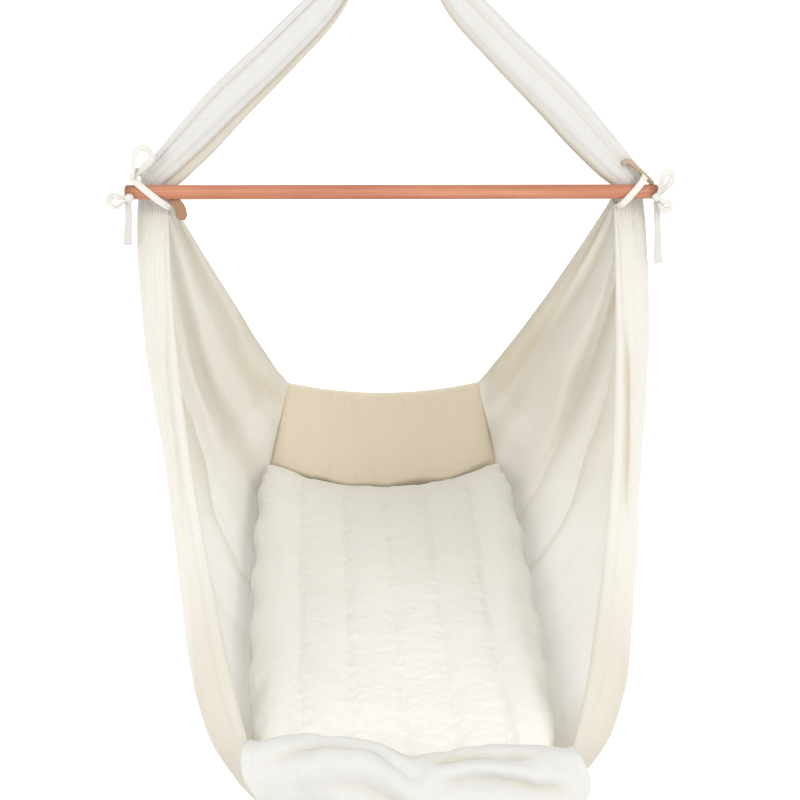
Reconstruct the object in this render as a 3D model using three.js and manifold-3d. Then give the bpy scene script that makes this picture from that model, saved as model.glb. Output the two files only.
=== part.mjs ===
// A hanging baby cradle: a long cloth bed whose side walls fan out of two gathers.
// A round wooden bar spreads the gathers, and two cloth slings carry them to one ring.
// The ring hangs in a snap hook, a spring and a swivel.
// Millimetres, +Z up. The origin is where the ceiling hook bears inside the swivel's eye.
// X runs along the bar, -Y is the foot end and +Y the head end.

import * as THREE from 'three';
import { mergeVertices } from 'three/addons/utils/BufferGeometryUtils.js';
import Module from 'manifold-3d';

const wasm = await Module();
wasm.setup();

// Gaps between pieces
const RUN_GAP = 0.3;
const SEAM_GAP = 1.5;
const TAPE_GAP = 0.6;
const CUT_OVERRUN = 2;

// Swivel: an eye with a headed shank that turns in the boss of a link
const EYE_WIRE_R = 3;
const EYE_BORE_R = 13;
const SHANK_R = 4;
const SHANK_HEAD_R = 7;
const SHANK_HEAD_H = 4;
const SHANK_NECK_L = 2;
const LINK_ROD_R = 3.5;
const LINK_HALF_W = 14;
const LINK_L = 44;
const LINK_CORNER_R = 6;
const BOSS_R = 8;
const BOSS_H = 9;
const WASHER_R = 7.5;
const WASHER_H = 1.2;

// Spring: closed coils with a hook loop at each end
const SPRING_WIRE_R = 2;
const SPRING_COIL_R = 14;
const SPRING_TURN_GAP = 0.6;
const SPRING_TURNS = 16;
const SPRING_HOOK_R = 11;
const SPRING_RISE = 6;

// Snap hook: a bent rod with a hinged gate
const CLIP_ROD_R = 4;
const CLIP_HALF_W = 15;
const CLIP_H = 66;
const CLIP_SHOULDER_L = 1;
const TONGUE_T = 3;
const TONGUE_L = 8;
const TONGUE_H = 5;
const GATE_END_GAP = 0.5;
const GATE_PIN_R = 1.3;

// Ring with a straight bar for the two sling loops
const RING_ROD_R = 3;
const RING_BAR_HALF_L = 28;
const RING_CORNER_R = 5;

// Wooden bar, and the cloth gathered behind it
const BAR_L = 587;
const BAR_R = 8;
const BAR_END_FILLET = 3;
const BAR_OVERHANG = 33.5;
const GATHER_HALF_W = 20;
const GATHER_HALF_D = 12;

// Slings
const SLING_RISE = 280;
const SLING_SPREAD = 14;
const SLING_HALF_W = 19;
const LOOP_HALF_W = 12;
const LOOP_HALF_T = 5.5;
const LOOP_TAIL_L = 46;
const WHIP_W = 12;
const WHIP_T = 1.6;
const WHIP_FROM_RING = 40;

// Cloth bed
const CLOTH_T = 2.4;
const HEM_T = 4.4;
const HEM_W_SHARE = 0.04;
const FOOT_HALF_W = 161;
const FOOT_Y = -385;
const FOOT_TOP_Z = -475;
const HEAD_HALF_W = 130;
const HEAD_Y = 433;
const HEAD_TOP_Z = -377;
const FLOOR_TUCK_IN = 11;
const FLOOR_FOOT_HALF_W = FOOT_HALF_W - FLOOR_TUCK_IN;
const FLOOR_HEAD_HALF_W = 165;
const FLOOR_SPREAD = 6;
const FLOOR_FOOT_Y = -388;
const FLOOR_HEAD_Y = 390;
const FLOOR_Z = -535;
const FLOOR_DIP = 5;
const FLOOR_SAG = 14;
const BELLY = 31;
const LOW_BELLY = 36;
const PLEAT_D = 5;
const PLEATS = 5;
const HEAD_BOW = 14;
const HEAD_SAG = 15;
const FOOT_ROLL_D = 58;
const FOOT_FLAP_DROP = 112;
const FOOT_FOLD_D = 7;
const FOOT_HUMP_H = 22;

// Pad
const PAD_FOOT_HALF_W = FOOT_HALF_W;
const PAD_HEAD_HALF_W = 174;
const PAD_LIFT = 27;
const PAD_HEAD_LIFT = 47;
const PAD_HEAD_LEAN = 14;
const PAD_T = 48;
const PAD_END_GAP = 9;
const PAD_WAVE = 3;
const PAD_CHANNEL_D = 3.5;
const PAD_CHANNELS = 6;

// Tape: lashing, bows, tails and the two tan ends
const TAPE_W = 8;
const TAPE_T = 1.6;
const LASH_SLOPE_DEG = 38;
const LASH_SLACK = 7;
const KNOT_R = 6;
const BOW_R = 1.9;
const TAIL_R = 4;
const TAIL_LEFT_L = 48;
const TAIL_RIGHT_L = 70;
const TAB_W = 11;
const TAB_L = 24;
const TAN_CORD_R = 2.4;

// Places worked out from the sizes
const EYE_MEAN_R = EYE_BORE_R + EYE_WIRE_R;
const EYE_Z = -EYE_BORE_R;
const BOSS_TOP_Z = EYE_Z - EYE_MEAN_R - EYE_WIRE_R - SHANK_NECK_L;
const BOSS_Z = BOSS_TOP_Z - BOSS_H / 2;
const WASHER_TOP_Z = BOSS_TOP_Z - BOSS_H - RUN_GAP;
const SHANK_HEAD_TOP_Z = WASHER_TOP_Z - WASHER_H - RUN_GAP;
const LINK_BOW_Z = BOSS_Z - LINK_L;
const HOOK_TOP_Z = LINK_BOW_Z + LINK_ROD_R + RUN_GAP + SPRING_WIRE_R;
const SPRING_PITCH = 2 * SPRING_WIRE_R + SPRING_TURN_GAP;
const SPRING_L = 4 * SPRING_HOOK_R + 2 * SPRING_RISE + SPRING_TURNS * SPRING_PITCH;
const CLIP_TOP_Z = HOOK_TOP_Z - SPRING_L + SPRING_WIRE_R + RUN_GAP + CLIP_ROD_R;
const CLIP_BOTTOM_Z = CLIP_TOP_Z - CLIP_H;
const RING_TOP_Z = CLIP_BOTTOM_Z + CLIP_ROD_R + RUN_GAP + RING_ROD_R;
const RING_BOW_R = RING_BAR_HALF_L + RING_CORNER_R;
const RING_BAR_Z = RING_TOP_Z - RING_BOW_R - RING_CORNER_R;
const BAR_Z = RING_BAR_Z - SLING_RISE;
const GATHER_X = BAR_L / 2 - BAR_OVERHANG;
const GATHER_Y = BAR_R + TAPE_GAP + GATHER_HALF_D;
const GATHER_END_Z = -BAR_R;

// Geometry helpers

function point(x, y, z) {
  return new THREE.Vector3(x, y, z);
}

function facingOut(geometry) {
  const position = geometry.getAttribute('position');
  const index = Array.from(geometry.index.array);
  const [a, b, c] = [point(0, 0, 0), point(0, 0, 0), point(0, 0, 0)];
  let volume = 0;
  for (let i = 0; i < index.length; i += 3) {
    a.fromBufferAttribute(position, index[i]);
    b.fromBufferAttribute(position, index[i + 1]);
    c.fromBufferAttribute(position, index[i + 2]);
    volume += a.dot(b.cross(c));
  }
  if (volume < 0) {
    for (let i = 0; i < index.length; i += 3) {
      [index[i + 1], index[i + 2]] = [index[i + 2], index[i + 1]];
    }
    geometry.setIndex(index);
  }
  return geometry;
}

function fromLists(points, index) {
  const geometry = new THREE.BufferGeometry();
  const numbers = points.flatMap((p) => p.toArray());
  geometry.setAttribute('position', new THREE.Float32BufferAttribute(numbers, 3));
  geometry.setIndex(index);
  return facingOut(geometry);
}

function welded(geometry) {
  const bare = geometry.clone();
  bare.deleteAttribute('normal');
  bare.deleteAttribute('uv');
  return facingOut(mergeVertices(bare));
}

function toSolid(geometry) {
  const bare = welded(geometry);
  return new wasm.Manifold(new wasm.Mesh({
    numProp: 3,
    vertProperties: new Float32Array(bare.getAttribute('position').array),
    triVerts: new Uint32Array(bare.index.array),
  }));
}

function toGeometry(solid) {
  const mesh = solid.getMesh();
  const geometry = new THREE.BufferGeometry();
  geometry.setAttribute('position', new THREE.BufferAttribute(new Float32Array(mesh.vertProperties), 3));
  geometry.setIndex(new THREE.BufferAttribute(new Uint32Array(mesh.triVerts), 1));
  return geometry;
}

function joined(...geometries) {
  return toGeometry(geometries.map(toSolid).reduce((whole, next) => whole.add(next)));
}

function cut(body, ...tools) {
  return toGeometry(tools.map(toSolid).reduce((whole, tool) => whole.subtract(tool), toSolid(body)));
}

function mirrored(geometry) {
  const copy = geometry.clone();
  copy.scale(-1, 1, 1);
  return facingOut(copy);
}

function rodAlongZ(radius, top, bottom, sides) {
  return new THREE.CylinderGeometry(radius, radius, top - bottom, sides)
    .rotateX(Math.PI / 2)
    .translate(0, 0, (top + bottom) / 2);
}

function ringOf(count, place) {
  return Array.from({ length: count }, (_, i) => place((2 * Math.PI * i) / count));
}

// A wave made boxier, so that a ring of tape goes round a bundle as a rounded rectangle
const BOXY_EXPONENT = 0.6;

function boxy(wave) {
  return Math.sign(wave) * Math.abs(wave) ** BOXY_EXPONENT;
}

function roundSection(radius, sides) {
  return ringOf(sides, (angle) => [radius * Math.cos(angle), radius * Math.sin(angle)]);
}

function tapeSection(width, thickness) {
  const bevel = thickness / 2;
  const [w, t] = [width / 2, thickness / 2];
  return [[w - bevel, t], [bevel - w, t], [-w, 0], [bevel - w, -t], [w - bevel, -t], [w, 0]];
}

// Rings of points joined into one closed body: a loop, or a length with two end caps
function loft(rings, loop = false) {
  const sides = rings[0].length;
  const points = rings.flat();
  const index = [];
  const spans = loop ? rings.length : rings.length - 1;
  for (let i = 0; i < spans; i += 1) {
    const a = i * sides;
    const b = ((i + 1) % rings.length) * sides;
    for (let j = 0; j < sides; j += 1) {
      const k = (j + 1) % sides;
      index.push(a + j, a + k, b + k, a + j, b + k, b + j);
    }
  }
  if (!loop) {
    const last = (rings.length - 1) * sides;
    for (const [start, flip] of [[0, true], [last, false]]) {
      const middle = points.length;
      const ring = points.slice(start, start + sides);
      points.push(ring.reduce((sum, p) => sum.add(p), point(0, 0, 0)).divideScalar(sides));
      for (let j = 0; j < sides; j += 1) {
        const k = (j + 1) % sides;
        index.push(...(flip ? [middle, start + k, start + j] : [middle, start + j, start + k]));
      }
    }
  }
  return fromLists(points, index);
}

// A section carried along a path. sideAt gives the way its first axis points.
function sweep(path, sectionAt, { loop = false, sideAt = null } = {}) {
  let carried = null;
  const rings = path.map((here, i) => {
    const before = path[loop ? (i + path.length - 1) % path.length : Math.max(i - 1, 0)];
    const after = path[loop ? (i + 1) % path.length : Math.min(i + 1, path.length - 1)];
    const along = after.clone().sub(before).normalize();
    const wish = sideAt ? sideAt(i, here) : carried ?? point(along.z, along.x, along.y);
    const side = wish.clone().addScaledVector(along, -wish.dot(along)).normalize();
    const other = along.clone().cross(side);
    carried = side;
    const section = typeof sectionAt === 'function' ? sectionAt(i) : sectionAt;
    return section.map(([u, v]) => here.clone().addScaledVector(side, u).addScaledVector(other, v));
  });
  return loft(rings, loop);
}

// Two like grids of points, closed around their rim
function shell(upper, lower) {
  const [rows, columns] = [upper.length, upper[0].length];
  const points = [...upper.flat(), ...lower.flat()];
  const at = (i, j, down) => (down ? rows * columns : 0) + i * columns + j;
  const index = [];
  const quad = (a, b, c, d) => index.push(a, b, c, a, c, d);
  for (let i = 0; i + 1 < rows; i += 1) {
    for (let j = 0; j + 1 < columns; j += 1) {
      quad(at(i, j), at(i + 1, j), at(i + 1, j + 1), at(i, j + 1));
      quad(at(i, j, true), at(i, j + 1, true), at(i + 1, j + 1, true), at(i + 1, j, true));
    }
  }
  for (let i = 0; i + 1 < rows; i += 1) {
    const j = columns - 1;
    quad(at(i, 0, true), at(i + 1, 0, true), at(i + 1, 0), at(i, 0));
    quad(at(i, j), at(i + 1, j), at(i + 1, j, true), at(i, j, true));
  }
  for (let j = 0; j + 1 < columns; j += 1) {
    const i = rows - 1;
    quad(at(0, j), at(0, j + 1), at(0, j + 1, true), at(0, j, true));
    quad(at(i, j, true), at(i, j + 1, true), at(i, j + 1), at(i, j));
  }
  return fromLists(points, index);
}

// A cloth panel: a grid of points thickened to both sides along its normals
function panel(grid, thicknessAt) {
  const [rows, columns] = [grid.length, grid[0].length];
  const side = (sign) => grid.map((row, i) => row.map((here, j) => {
    const down = grid[Math.min(i + 1, rows - 1)][j].clone().sub(grid[Math.max(i - 1, 0)][j]);
    const across = row[Math.min(j + 1, columns - 1)].clone().sub(row[Math.max(j - 1, 0)]);
    const normal = down.cross(across).normalize();
    return here.clone().addScaledVector(normal, (sign * thicknessAt(i, j)) / 2);
  }));
  return shell(side(1), side(-1));
}

function arc(centre, radius, fromDeg, toDeg, steps) {
  return Array.from({ length: steps + 1 }, (_, i) => {
    const angle = THREE.MathUtils.degToRad(THREE.MathUtils.lerp(fromDeg, toDeg, i / steps));
    return [centre[0] + radius * Math.cos(angle), centre[1] + radius * Math.sin(angle)];
  });
}

const inXZ = ([x, z]) => point(x, 0, z);
const inYZ = ([y, z]) => point(0, y, z);

// Swivel

function makeSwivelEye() {
  const eye = new THREE.TorusGeometry(EYE_MEAN_R, EYE_WIRE_R, 10, 24)
    .rotateX(Math.PI / 2)
    .translate(0, 0, EYE_Z);
  const shank = rodAlongZ(SHANK_R, EYE_Z - EYE_MEAN_R, SHANK_HEAD_TOP_Z - SHANK_HEAD_H / 2, 16);
  const head = rodAlongZ(SHANK_HEAD_R, SHANK_HEAD_TOP_Z, SHANK_HEAD_TOP_Z - SHANK_HEAD_H, 16);
  return joined(eye, shank, head);
}

function makeSwivelWasher() {
  const inner = SHANK_R + RUN_GAP;
  const outline = [[inner, 0], [WASHER_R, 0], [WASHER_R, WASHER_H], [inner, WASHER_H], [inner, 0]];
  return new THREE.LatheGeometry(outline.map(([r, h]) => new THREE.Vector2(r, h)), 20)
    .rotateX(Math.PI / 2)
    .translate(0, 0, WASHER_TOP_Z - WASHER_H);
}

function makeSwivelLink() {
  const cornerX = LINK_HALF_W - LINK_CORNER_R;
  const cornerZ = BOSS_Z - LINK_CORNER_R;
  const bowZ = LINK_BOW_Z + LINK_HALF_W;
  const path = [
    ...arc([cornerX, cornerZ], LINK_CORNER_R, 90, 0, 3),
    ...arc([0, bowZ], LINK_HALF_W, 0, -180, 12),
    ...arc([-cornerX, cornerZ], LINK_CORNER_R, 180, 90, 3),
  ].map(inXZ);
  const rod = sweep(path, roundSection(LINK_ROD_R, 8), { loop: true, sideAt: () => point(0, 1, 0) });
  const boss = rodAlongZ(BOSS_R, BOSS_TOP_Z, BOSS_TOP_Z - BOSS_H, 20);
  const boreEnds = [BOSS_TOP_Z + CUT_OVERRUN, BOSS_TOP_Z - BOSS_H - CUT_OVERRUN];
  return cut(joined(rod, boss), rodAlongZ(SHANK_R + RUN_GAP, ...boreEnds, 20));
}

// Spring: one unbroken wire from the free end of its upper hook to that of its lower one
const TURN_STEPS = 8;
const TURN_IN_STEPS = 5;
const HOOK_STEPS = 16;
const HOOK_UPPER_DEG = [-20, 270];
const HOOK_LOWER_DEG = [90, -200];

function springPath() {
  const upperHookZ = HOOK_TOP_Z - SPRING_HOOK_R;
  const coilTopZ = upperHookZ - SPRING_HOOK_R - SPRING_RISE;
  const coilBottomZ = coilTopZ - SPRING_TURNS * SPRING_PITCH;
  const lowerHookZ = coilBottomZ - SPRING_RISE - SPRING_HOOK_R;
  const turnIn = SPRING_COIL_R / 2;
  const eased = (i) => THREE.MathUtils.smoothstep(i + 1, 0, TURN_IN_STEPS);
  const path = arc([0, upperHookZ], SPRING_HOOK_R, ...HOOK_UPPER_DEG, HOOK_STEPS).map(inYZ);
  arc([turnIn, 0], turnIn, 180, 0, TURN_IN_STEPS).slice(1, -1).forEach(([x, y], i) => {
    path.push(point(x, y, coilTopZ + SPRING_RISE * (1 - eased(i))));
  });
  const steps = SPRING_TURNS * TURN_STEPS;
  for (let i = 0; i <= steps; i += 1) {
    const angle = (-2 * Math.PI * i) / TURN_STEPS;
    const z = THREE.MathUtils.lerp(coilTopZ, coilBottomZ, i / steps);
    path.push(point(SPRING_COIL_R * Math.cos(angle), SPRING_COIL_R * Math.sin(angle), z));
  }
  arc([turnIn, 0], turnIn, 0, -180, TURN_IN_STEPS).slice(1, -1).forEach(([x, y], i) => {
    path.push(point(x, y, coilBottomZ - SPRING_RISE * eased(i)));
  });
  path.push(...arc([0, lowerHookZ], SPRING_HOOK_R, ...HOOK_LOWER_DEG, HOOK_STEPS).map(inYZ));
  return path;
}

function leastGapToItself(path, radius, apart) {
  let least = Infinity;
  path.forEach((here, i) => {
    for (let j = i + apart; j < path.length; j += 1) {
      least = Math.min(least, here.distanceTo(path[j]) - 2 * radius);
    }
  });
  return least;
}

function makeSpring() {
  const path = springPath();
  const gap = leastGapToItself(path, SPRING_WIRE_R, TURN_STEPS - 2);
  console.log(`spring: least gap to itself ${gap.toFixed(2)} mm`);
  return sweep(path, roundSection(SPRING_WIRE_R, 5));
}

// Snap hook

const NOSE_Z = CLIP_TOP_Z - CLIP_HALF_W - CLIP_SHOULDER_L;
const HEEL_Z = CLIP_BOTTOM_Z + CLIP_HALF_W + CLIP_SHOULDER_L;
const GATE_PIN_Z = HEEL_Z + GATE_END_GAP + CLIP_ROD_R;
const GATE_TOP_Z = NOSE_Z - GATE_END_GAP;

function tongue(from, to, round) {
  const flat = new THREE.BoxGeometry(TONGUE_H, TONGUE_T, Math.abs(to - from))
    .translate(CLIP_HALF_W, 0, (from + to) / 2);
  if (!round) {
    return flat;
  }
  const end = new THREE.CylinderGeometry(TONGUE_H / 2, TONGUE_H / 2, TONGUE_T, 16);
  return joined(flat, end.translate(CLIP_HALF_W, 0, to));
}

function pinRod(radius, length) {
  return new THREE.CylinderGeometry(radius, radius, length, 12).translate(CLIP_HALF_W, 0, GATE_PIN_Z);
}

function makeCarabinerBody() {
  const path = [
    [CLIP_HALF_W, NOSE_Z],
    ...arc([0, CLIP_TOP_Z - CLIP_HALF_W], CLIP_HALF_W, 0, 180, 12),
    ...arc([0, CLIP_BOTTOM_Z + CLIP_HALF_W], CLIP_HALF_W, 180, 360, 12),
    [CLIP_HALF_W, HEEL_Z],
  ].map(inXZ);
  const rod = sweep(path, roundSection(CLIP_ROD_R, 8), { sideAt: () => point(0, 1, 0) });
  const nose = tongue(NOSE_Z + CLIP_SHOULDER_L, NOSE_Z - TONGUE_L + TONGUE_H / 2, false);
  const heel = tongue(HEEL_Z - CLIP_SHOULDER_L, GATE_PIN_Z, true);
  return cut(joined(rod, nose, heel), pinRod(GATE_PIN_R + RUN_GAP, TONGUE_T + CUT_OVERRUN));
}

function makeCarabinerGate() {
  const stem = rodAlongZ(CLIP_ROD_R, GATE_TOP_Z, GATE_PIN_Z, 12).translate(CLIP_HALF_W, 0, 0);
  const foot = new THREE.CylinderGeometry(CLIP_ROD_R, CLIP_ROD_R, 2 * CLIP_ROD_R, 16)
    .translate(CLIP_HALF_W, 0, GATE_PIN_Z);
  const slotW = TONGUE_T + 2 * RUN_GAP;
  const slotX = 2 * (CLIP_ROD_R + CUT_OVERRUN);
  const lowFrom = GATE_PIN_Z - CLIP_ROD_R - CUT_OVERRUN;
  const lowTo = GATE_PIN_Z + TONGUE_H;
  const highFrom = NOSE_Z - TONGUE_L;
  const highTo = GATE_TOP_Z + CUT_OVERRUN;
  const slot = (from, to) => new THREE.BoxGeometry(slotX, slotW, to - from)
    .translate(CLIP_HALF_W, 0, (from + to) / 2);
  const bore = pinRod(GATE_PIN_R + RUN_GAP, 2 * (CLIP_ROD_R + CUT_OVERRUN));
  return cut(joined(stem, foot), slot(lowFrom, lowTo), slot(highFrom, highTo), bore);
}

function makeCarabinerPin() {
  return pinRod(GATE_PIN_R, 2 * CLIP_ROD_R);
}

function makeDRing() {
  const cornerZ = RING_BAR_Z + RING_CORNER_R;
  const path = [
    ...arc([0, cornerZ], RING_BOW_R, 0, 180, 18),
    ...arc([-RING_BAR_HALF_L, cornerZ], RING_CORNER_R, 180, 270, 4).slice(1),
    ...arc([RING_BAR_HALF_L, cornerZ], RING_CORNER_R, 270, 360, 4).slice(0, -1),
  ].map(inYZ);
  return sweep(path, roundSection(RING_ROD_R, 8), { loop: true, sideAt: () => point(1, 0, 0) });
}

// Everything below is placed from the middle of the wooden bar.

function makeSpreaderBar() {
  const half = BAR_L / 2;
  const inset = half - BAR_END_FILLET;
  const end = arc([BAR_R - BAR_END_FILLET, inset], BAR_END_FILLET, 0, 90, 3);
  const outline = [[0, -half], ...end.map(([r, h]) => [r, -h]).reverse(), ...end, [0, half]];
  return new THREE.LatheGeometry(outline.map(([r, h]) => new THREE.Vector2(r, h)), 20)
    .rotateZ(Math.PI / 2);
}

// Slings. Shares run along the line from the gather to the ring: how far, and how far outside it.
const SLING_ALONG_SHARES = [-0.057, -0.014, 0.024, 0.087, 0.2, 0.34, 0.54, 0.72];
const SLING_OUT_SHARES = [-0.053, -0.015, 0.008, 0.01, 0.013, 0.017, 0.009, 0.006];
const SLING_WIDTH_SHARES = [1.04, 1.04, 1.06, 1.12, 1.2, 1.2, 1.08, 0.95];
const SLING_DEPTH_SHARES = [1, 1, 1, 1, 1.05, 1.05, 1, 0.85];
const SLING_FOLDS = 5;
const SLING_SIDES = 20;
const SLING_FOLD_SHARE = 0.13;

function foldedSection({ halfY, halfAcross, fold }) {
  return ringOf(SLING_SIDES, (angle) => {
    const reach = 1 - fold * (1 + Math.cos(SLING_FOLDS * angle));
    return [halfY * reach * Math.cos(angle), halfAcross * reach * Math.sin(angle)];
  });
}

// The sling rises from the gather, goes over the ring's bar and back down under itself.
function slingRun(ringY) {
  const start = point(-GATHER_X, GATHER_Y, 0);
  const ring = point(0, ringY, SLING_RISE);
  const way = ring.clone().sub(start);
  way.y = 0;
  const length = way.length();
  way.normalize();
  const out = point(-way.z, 0, way.x);
  const turnR = RING_ROD_R + RUN_GAP + LOOP_HALF_T;
  const stations = SLING_ALONG_SHARES.map((share, i) => ({
    at: start.clone().addScaledVector(way, share * length)
      .addScaledVector(out, SLING_OUT_SHARES[i] * length)
      .setY(THREE.MathUtils.lerp(start.y, ring.y, Math.max(share, 0))),
    halfAcross: SLING_HALF_W * SLING_WIDTH_SHARES[i],
    halfY: GATHER_HALF_D * SLING_DEPTH_SHARES[i],
    fold: SLING_FOLD_SHARE,
  }));
  const nearRing = (back, aside, halfAcross) => ({
    at: ring.clone().addScaledVector(way, -back).addScaledVector(out, aside),
    halfAcross,
    halfY: LOOP_HALF_W,
    fold: SLING_FOLD_SHARE / 2,
  });
  const bound = { main: LOOP_HALF_T, tail: LOOP_HALF_T - TAPE_GAP };
  const boundApart = bound.main + bound.tail + TAPE_GAP;
  const mainAside = boundApart - bound.tail;
  const tailAside = mainAside - boundApart;
  stations.push(nearRing(WHIP_FROM_RING + WHIP_W / 2, mainAside, bound.main));
  stations.push(nearRing(WHIP_FROM_RING - WHIP_W / 2, mainAside, bound.main));
  for (const [along, across] of arc([0, 0], turnR, 90, -90, 8)) {
    stations.push(nearRing(-along, across, LOOP_HALF_T));
  }
  stations.push(nearRing(WHIP_FROM_RING - WHIP_W / 2, tailAside - TAPE_GAP, bound.tail));
  stations.push(nearRing(LOOP_TAIL_L, tailAside - TAPE_GAP, bound.tail));
  return { stations, ring, way, out, mainAside, tailAside, bound };
}

function makeSling(ringY) {
  const { stations } = slingRun(ringY);
  const path = stations.map((station) => station.at);
  const whole = sweep(path, (i) => foldedSection(stations[i]), { sideAt: () => point(0, 1, 0) });
  const below = new THREE.BoxGeometry(BAR_L, BAR_L, BAR_L);
  return cut(whole, below.translate(-GATHER_X, 0, GATHER_END_Z - BAR_L / 2));
}

function makeWhipping(ringY) {
  const { ring, way, out, mainAside, tailAside, bound } = slingRun(ringY);
  const top = mainAside + bound.main;
  const bottom = tailAside - TAPE_GAP - bound.tail;
  const clear = TAPE_GAP + WHIP_T / 2;
  const reach = (top - bottom) / 2 + clear;
  const middle = ring.clone()
    .addScaledVector(way, -WHIP_FROM_RING)
    .addScaledVector(out, (top + bottom) / 2);
  const path = ringOf(20, (angle) => middle.clone()
    .addScaledVector(out, reach * boxy(Math.cos(angle)))
    .add(point(0, (LOOP_HALF_W + clear) * boxy(Math.sin(angle)), 0)));
  return sweep(path, tapeSection(WHIP_W, WHIP_T), { loop: true, sideAt: () => way });
}

// Side walls. Columns go from the foot hem to the head hem, rows from the gather to the seams.
const SEAM_STEPS = 3;
const FLOOR_STEPS = 24;
const WALL_ROWS = 14;
const WALL_COLUMNS = FLOOR_STEPS + 2 * SEAM_STEPS;
const ROW_EXPONENT = 1.1;
const BELLY_EXPONENT = 0.45;
const BELLY_DROP_EXPONENT = 1.25;
const BELLY_ROUND_EXPONENT = 0.7;
const LOW_BELLY_EXPONENT = 0.45;
const LOW_BELLY_DROP_EXPONENT = 5.5;
const GATHER_OPEN_DEG = 45;
const FOOT_HEM_EXPONENT = 1.8;
const HEAD_HEM_EXPONENT = 0.9;
const FAN_EXPONENT = 1.25;

function floorEdge(share) {
  const along = 2 * share - 1;
  const arch = 1 - along * along;
  return point(
    -(THREE.MathUtils.lerp(FLOOR_FOOT_HALF_W, FLOOR_HEAD_HALF_W, share) + FLOOR_SPREAD * arch),
    THREE.MathUtils.lerp(FLOOR_FOOT_Y, FLOOR_HEAD_Y, share),
    FLOOR_Z - FLOOR_DIP * arch,
  );
}

function wallSeam(column) {
  const footTop = point(-FOOT_HALF_W, FOOT_Y, FOOT_TOP_Z);
  const headTop = point(-HEAD_HALF_W, HEAD_Y, HEAD_TOP_Z);
  if (column < SEAM_STEPS) {
    return footTop.lerp(floorEdge(0), column / SEAM_STEPS);
  }
  if (column > SEAM_STEPS + FLOOR_STEPS) {
    return floorEdge(1).lerp(headTop, (column - SEAM_STEPS - FLOOR_STEPS) / SEAM_STEPS);
  }
  return floorEdge((column - SEAM_STEPS) / FLOOR_STEPS);
}

function wallGather(share) {
  const turn = THREE.MathUtils.lerp(GATHER_OPEN_DEG, 360 - GATHER_OPEN_DEG, share);
  const angle = -THREE.MathUtils.degToRad(turn);
  return point(
    -GATHER_X + (GATHER_HALF_W - HEM_T / 2) * Math.cos(angle),
    GATHER_Y + (GATHER_HALF_D - HEM_T) * Math.sin(angle),
    GATHER_END_Z - 2 * TAPE_GAP,
  );
}

// The cloth hangs out past its seams, most of all low down by the foot.
function wallBelly(across, down) {
  const fullness = Math.sin(Math.PI * across) ** BELLY_EXPONENT;
  const height = Math.sin(Math.PI * down ** BELLY_DROP_EXPONENT) ** BELLY_ROUND_EXPONENT;
  const byFoot = Math.sin(Math.PI * across ** LOW_BELLY_EXPONENT) ** 2;
  const low = LOW_BELLY * byFoot * Math.sin(Math.PI * down ** LOW_BELLY_DROP_EXPONENT);
  return BELLY * fullness * height + low;
}

function wallPoint(column, row) {
  const across = column / WALL_COLUMNS;
  const down = (row / WALL_ROWS) ** ROW_EXPONENT;
  const [gather, seam] = [wallGather(across), wallSeam(column)];
  const inwards = down ** THREE.MathUtils.lerp(FOOT_HEM_EXPONENT, HEAD_HEM_EXPONENT, across);
  const here = point(
    THREE.MathUtils.lerp(gather.x, seam.x, inwards),
    THREE.MathUtils.lerp(gather.y, seam.y, down ** FAN_EXPONENT),
    THREE.MathUtils.lerp(gather.z, seam.z, down),
  );
  const pleat = PLEAT_D * Math.cos(2 * Math.PI * PLEATS * across);
  here.x -= wallBelly(across, down);
  here.x -= pleat * Math.sin(Math.PI * across) ** BELLY_EXPONENT * Math.sin(Math.PI * Math.sqrt(down));
  return here;
}

function hemThickness(share) {
  const fromHem = Math.min(share, 1 - share);
  return fromHem < HEM_W_SHARE ? HEM_T : CLOTH_T;
}

function makeSideWall() {
  const grid = [];
  for (let row = 0; row <= WALL_ROWS; row += 1) {
    grid.push(Array.from({ length: WALL_COLUMNS + 1 }, (_, column) => wallPoint(column, row)));
  }
  return panel(grid, (row, column) => (
    row > 1 && row < WALL_ROWS - 1 ? hemThickness(column / WALL_COLUMNS) : CLOTH_T
  ));
}

// Floor between the two seams
const FLOOR_COLUMNS = 10;
const FLOOR_ROWS = 12;

function floorMiddle(across, share) {
  const edge = floorEdge(share);
  return point(edge.x * -across, edge.y, edge.z - FLOOR_SAG * (1 - across * across));
}

function makeBasePanel() {
  const grid = [];
  const endGap = SEAM_GAP / (FLOOR_HEAD_Y - FLOOR_FOOT_Y);
  for (let row = 0; row <= FLOOR_ROWS; row += 1) {
    const share = THREE.MathUtils.lerp(endGap, 1 - endGap, row / FLOOR_ROWS);
    const reach = 1 - SEAM_GAP / -floorEdge(share).x;
    grid.push(Array.from({ length: FLOOR_COLUMNS + 1 }, (_, column) => (
      floorMiddle(reach * ((2 * column) / FLOOR_COLUMNS - 1), share)
    )));
  }
  return panel(grid, () => CLOTH_T);
}

const PANEL_COLUMNS = 12;

function makeHeadPanel() {
  const grid = [];
  const rows = 2 * SEAM_STEPS;
  for (let row = 0; row <= rows; row += 1) {
    const rise = row / rows;
    const edge = wallSeam(SEAM_STEPS + FLOOR_STEPS + rise * SEAM_STEPS);
    const halfW = -edge.x - SEAM_GAP;
    grid.push(Array.from({ length: PANEL_COLUMNS + 1 }, (_, column) => {
      const across = (2 * column) / PANEL_COLUMNS - 1;
      const middle = 1 - across * across;
      const sag = THREE.MathUtils.lerp(FLOOR_SAG, HEAD_SAG, rise) * middle;
      return point(halfW * across, edge.y + HEAD_BOW * middle * Math.sin(Math.PI * rise), edge.z - sag);
    }));
  }
  return panel(grid, (row) => (row === rows ? HEM_T : CLOTH_T));
}

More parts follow.
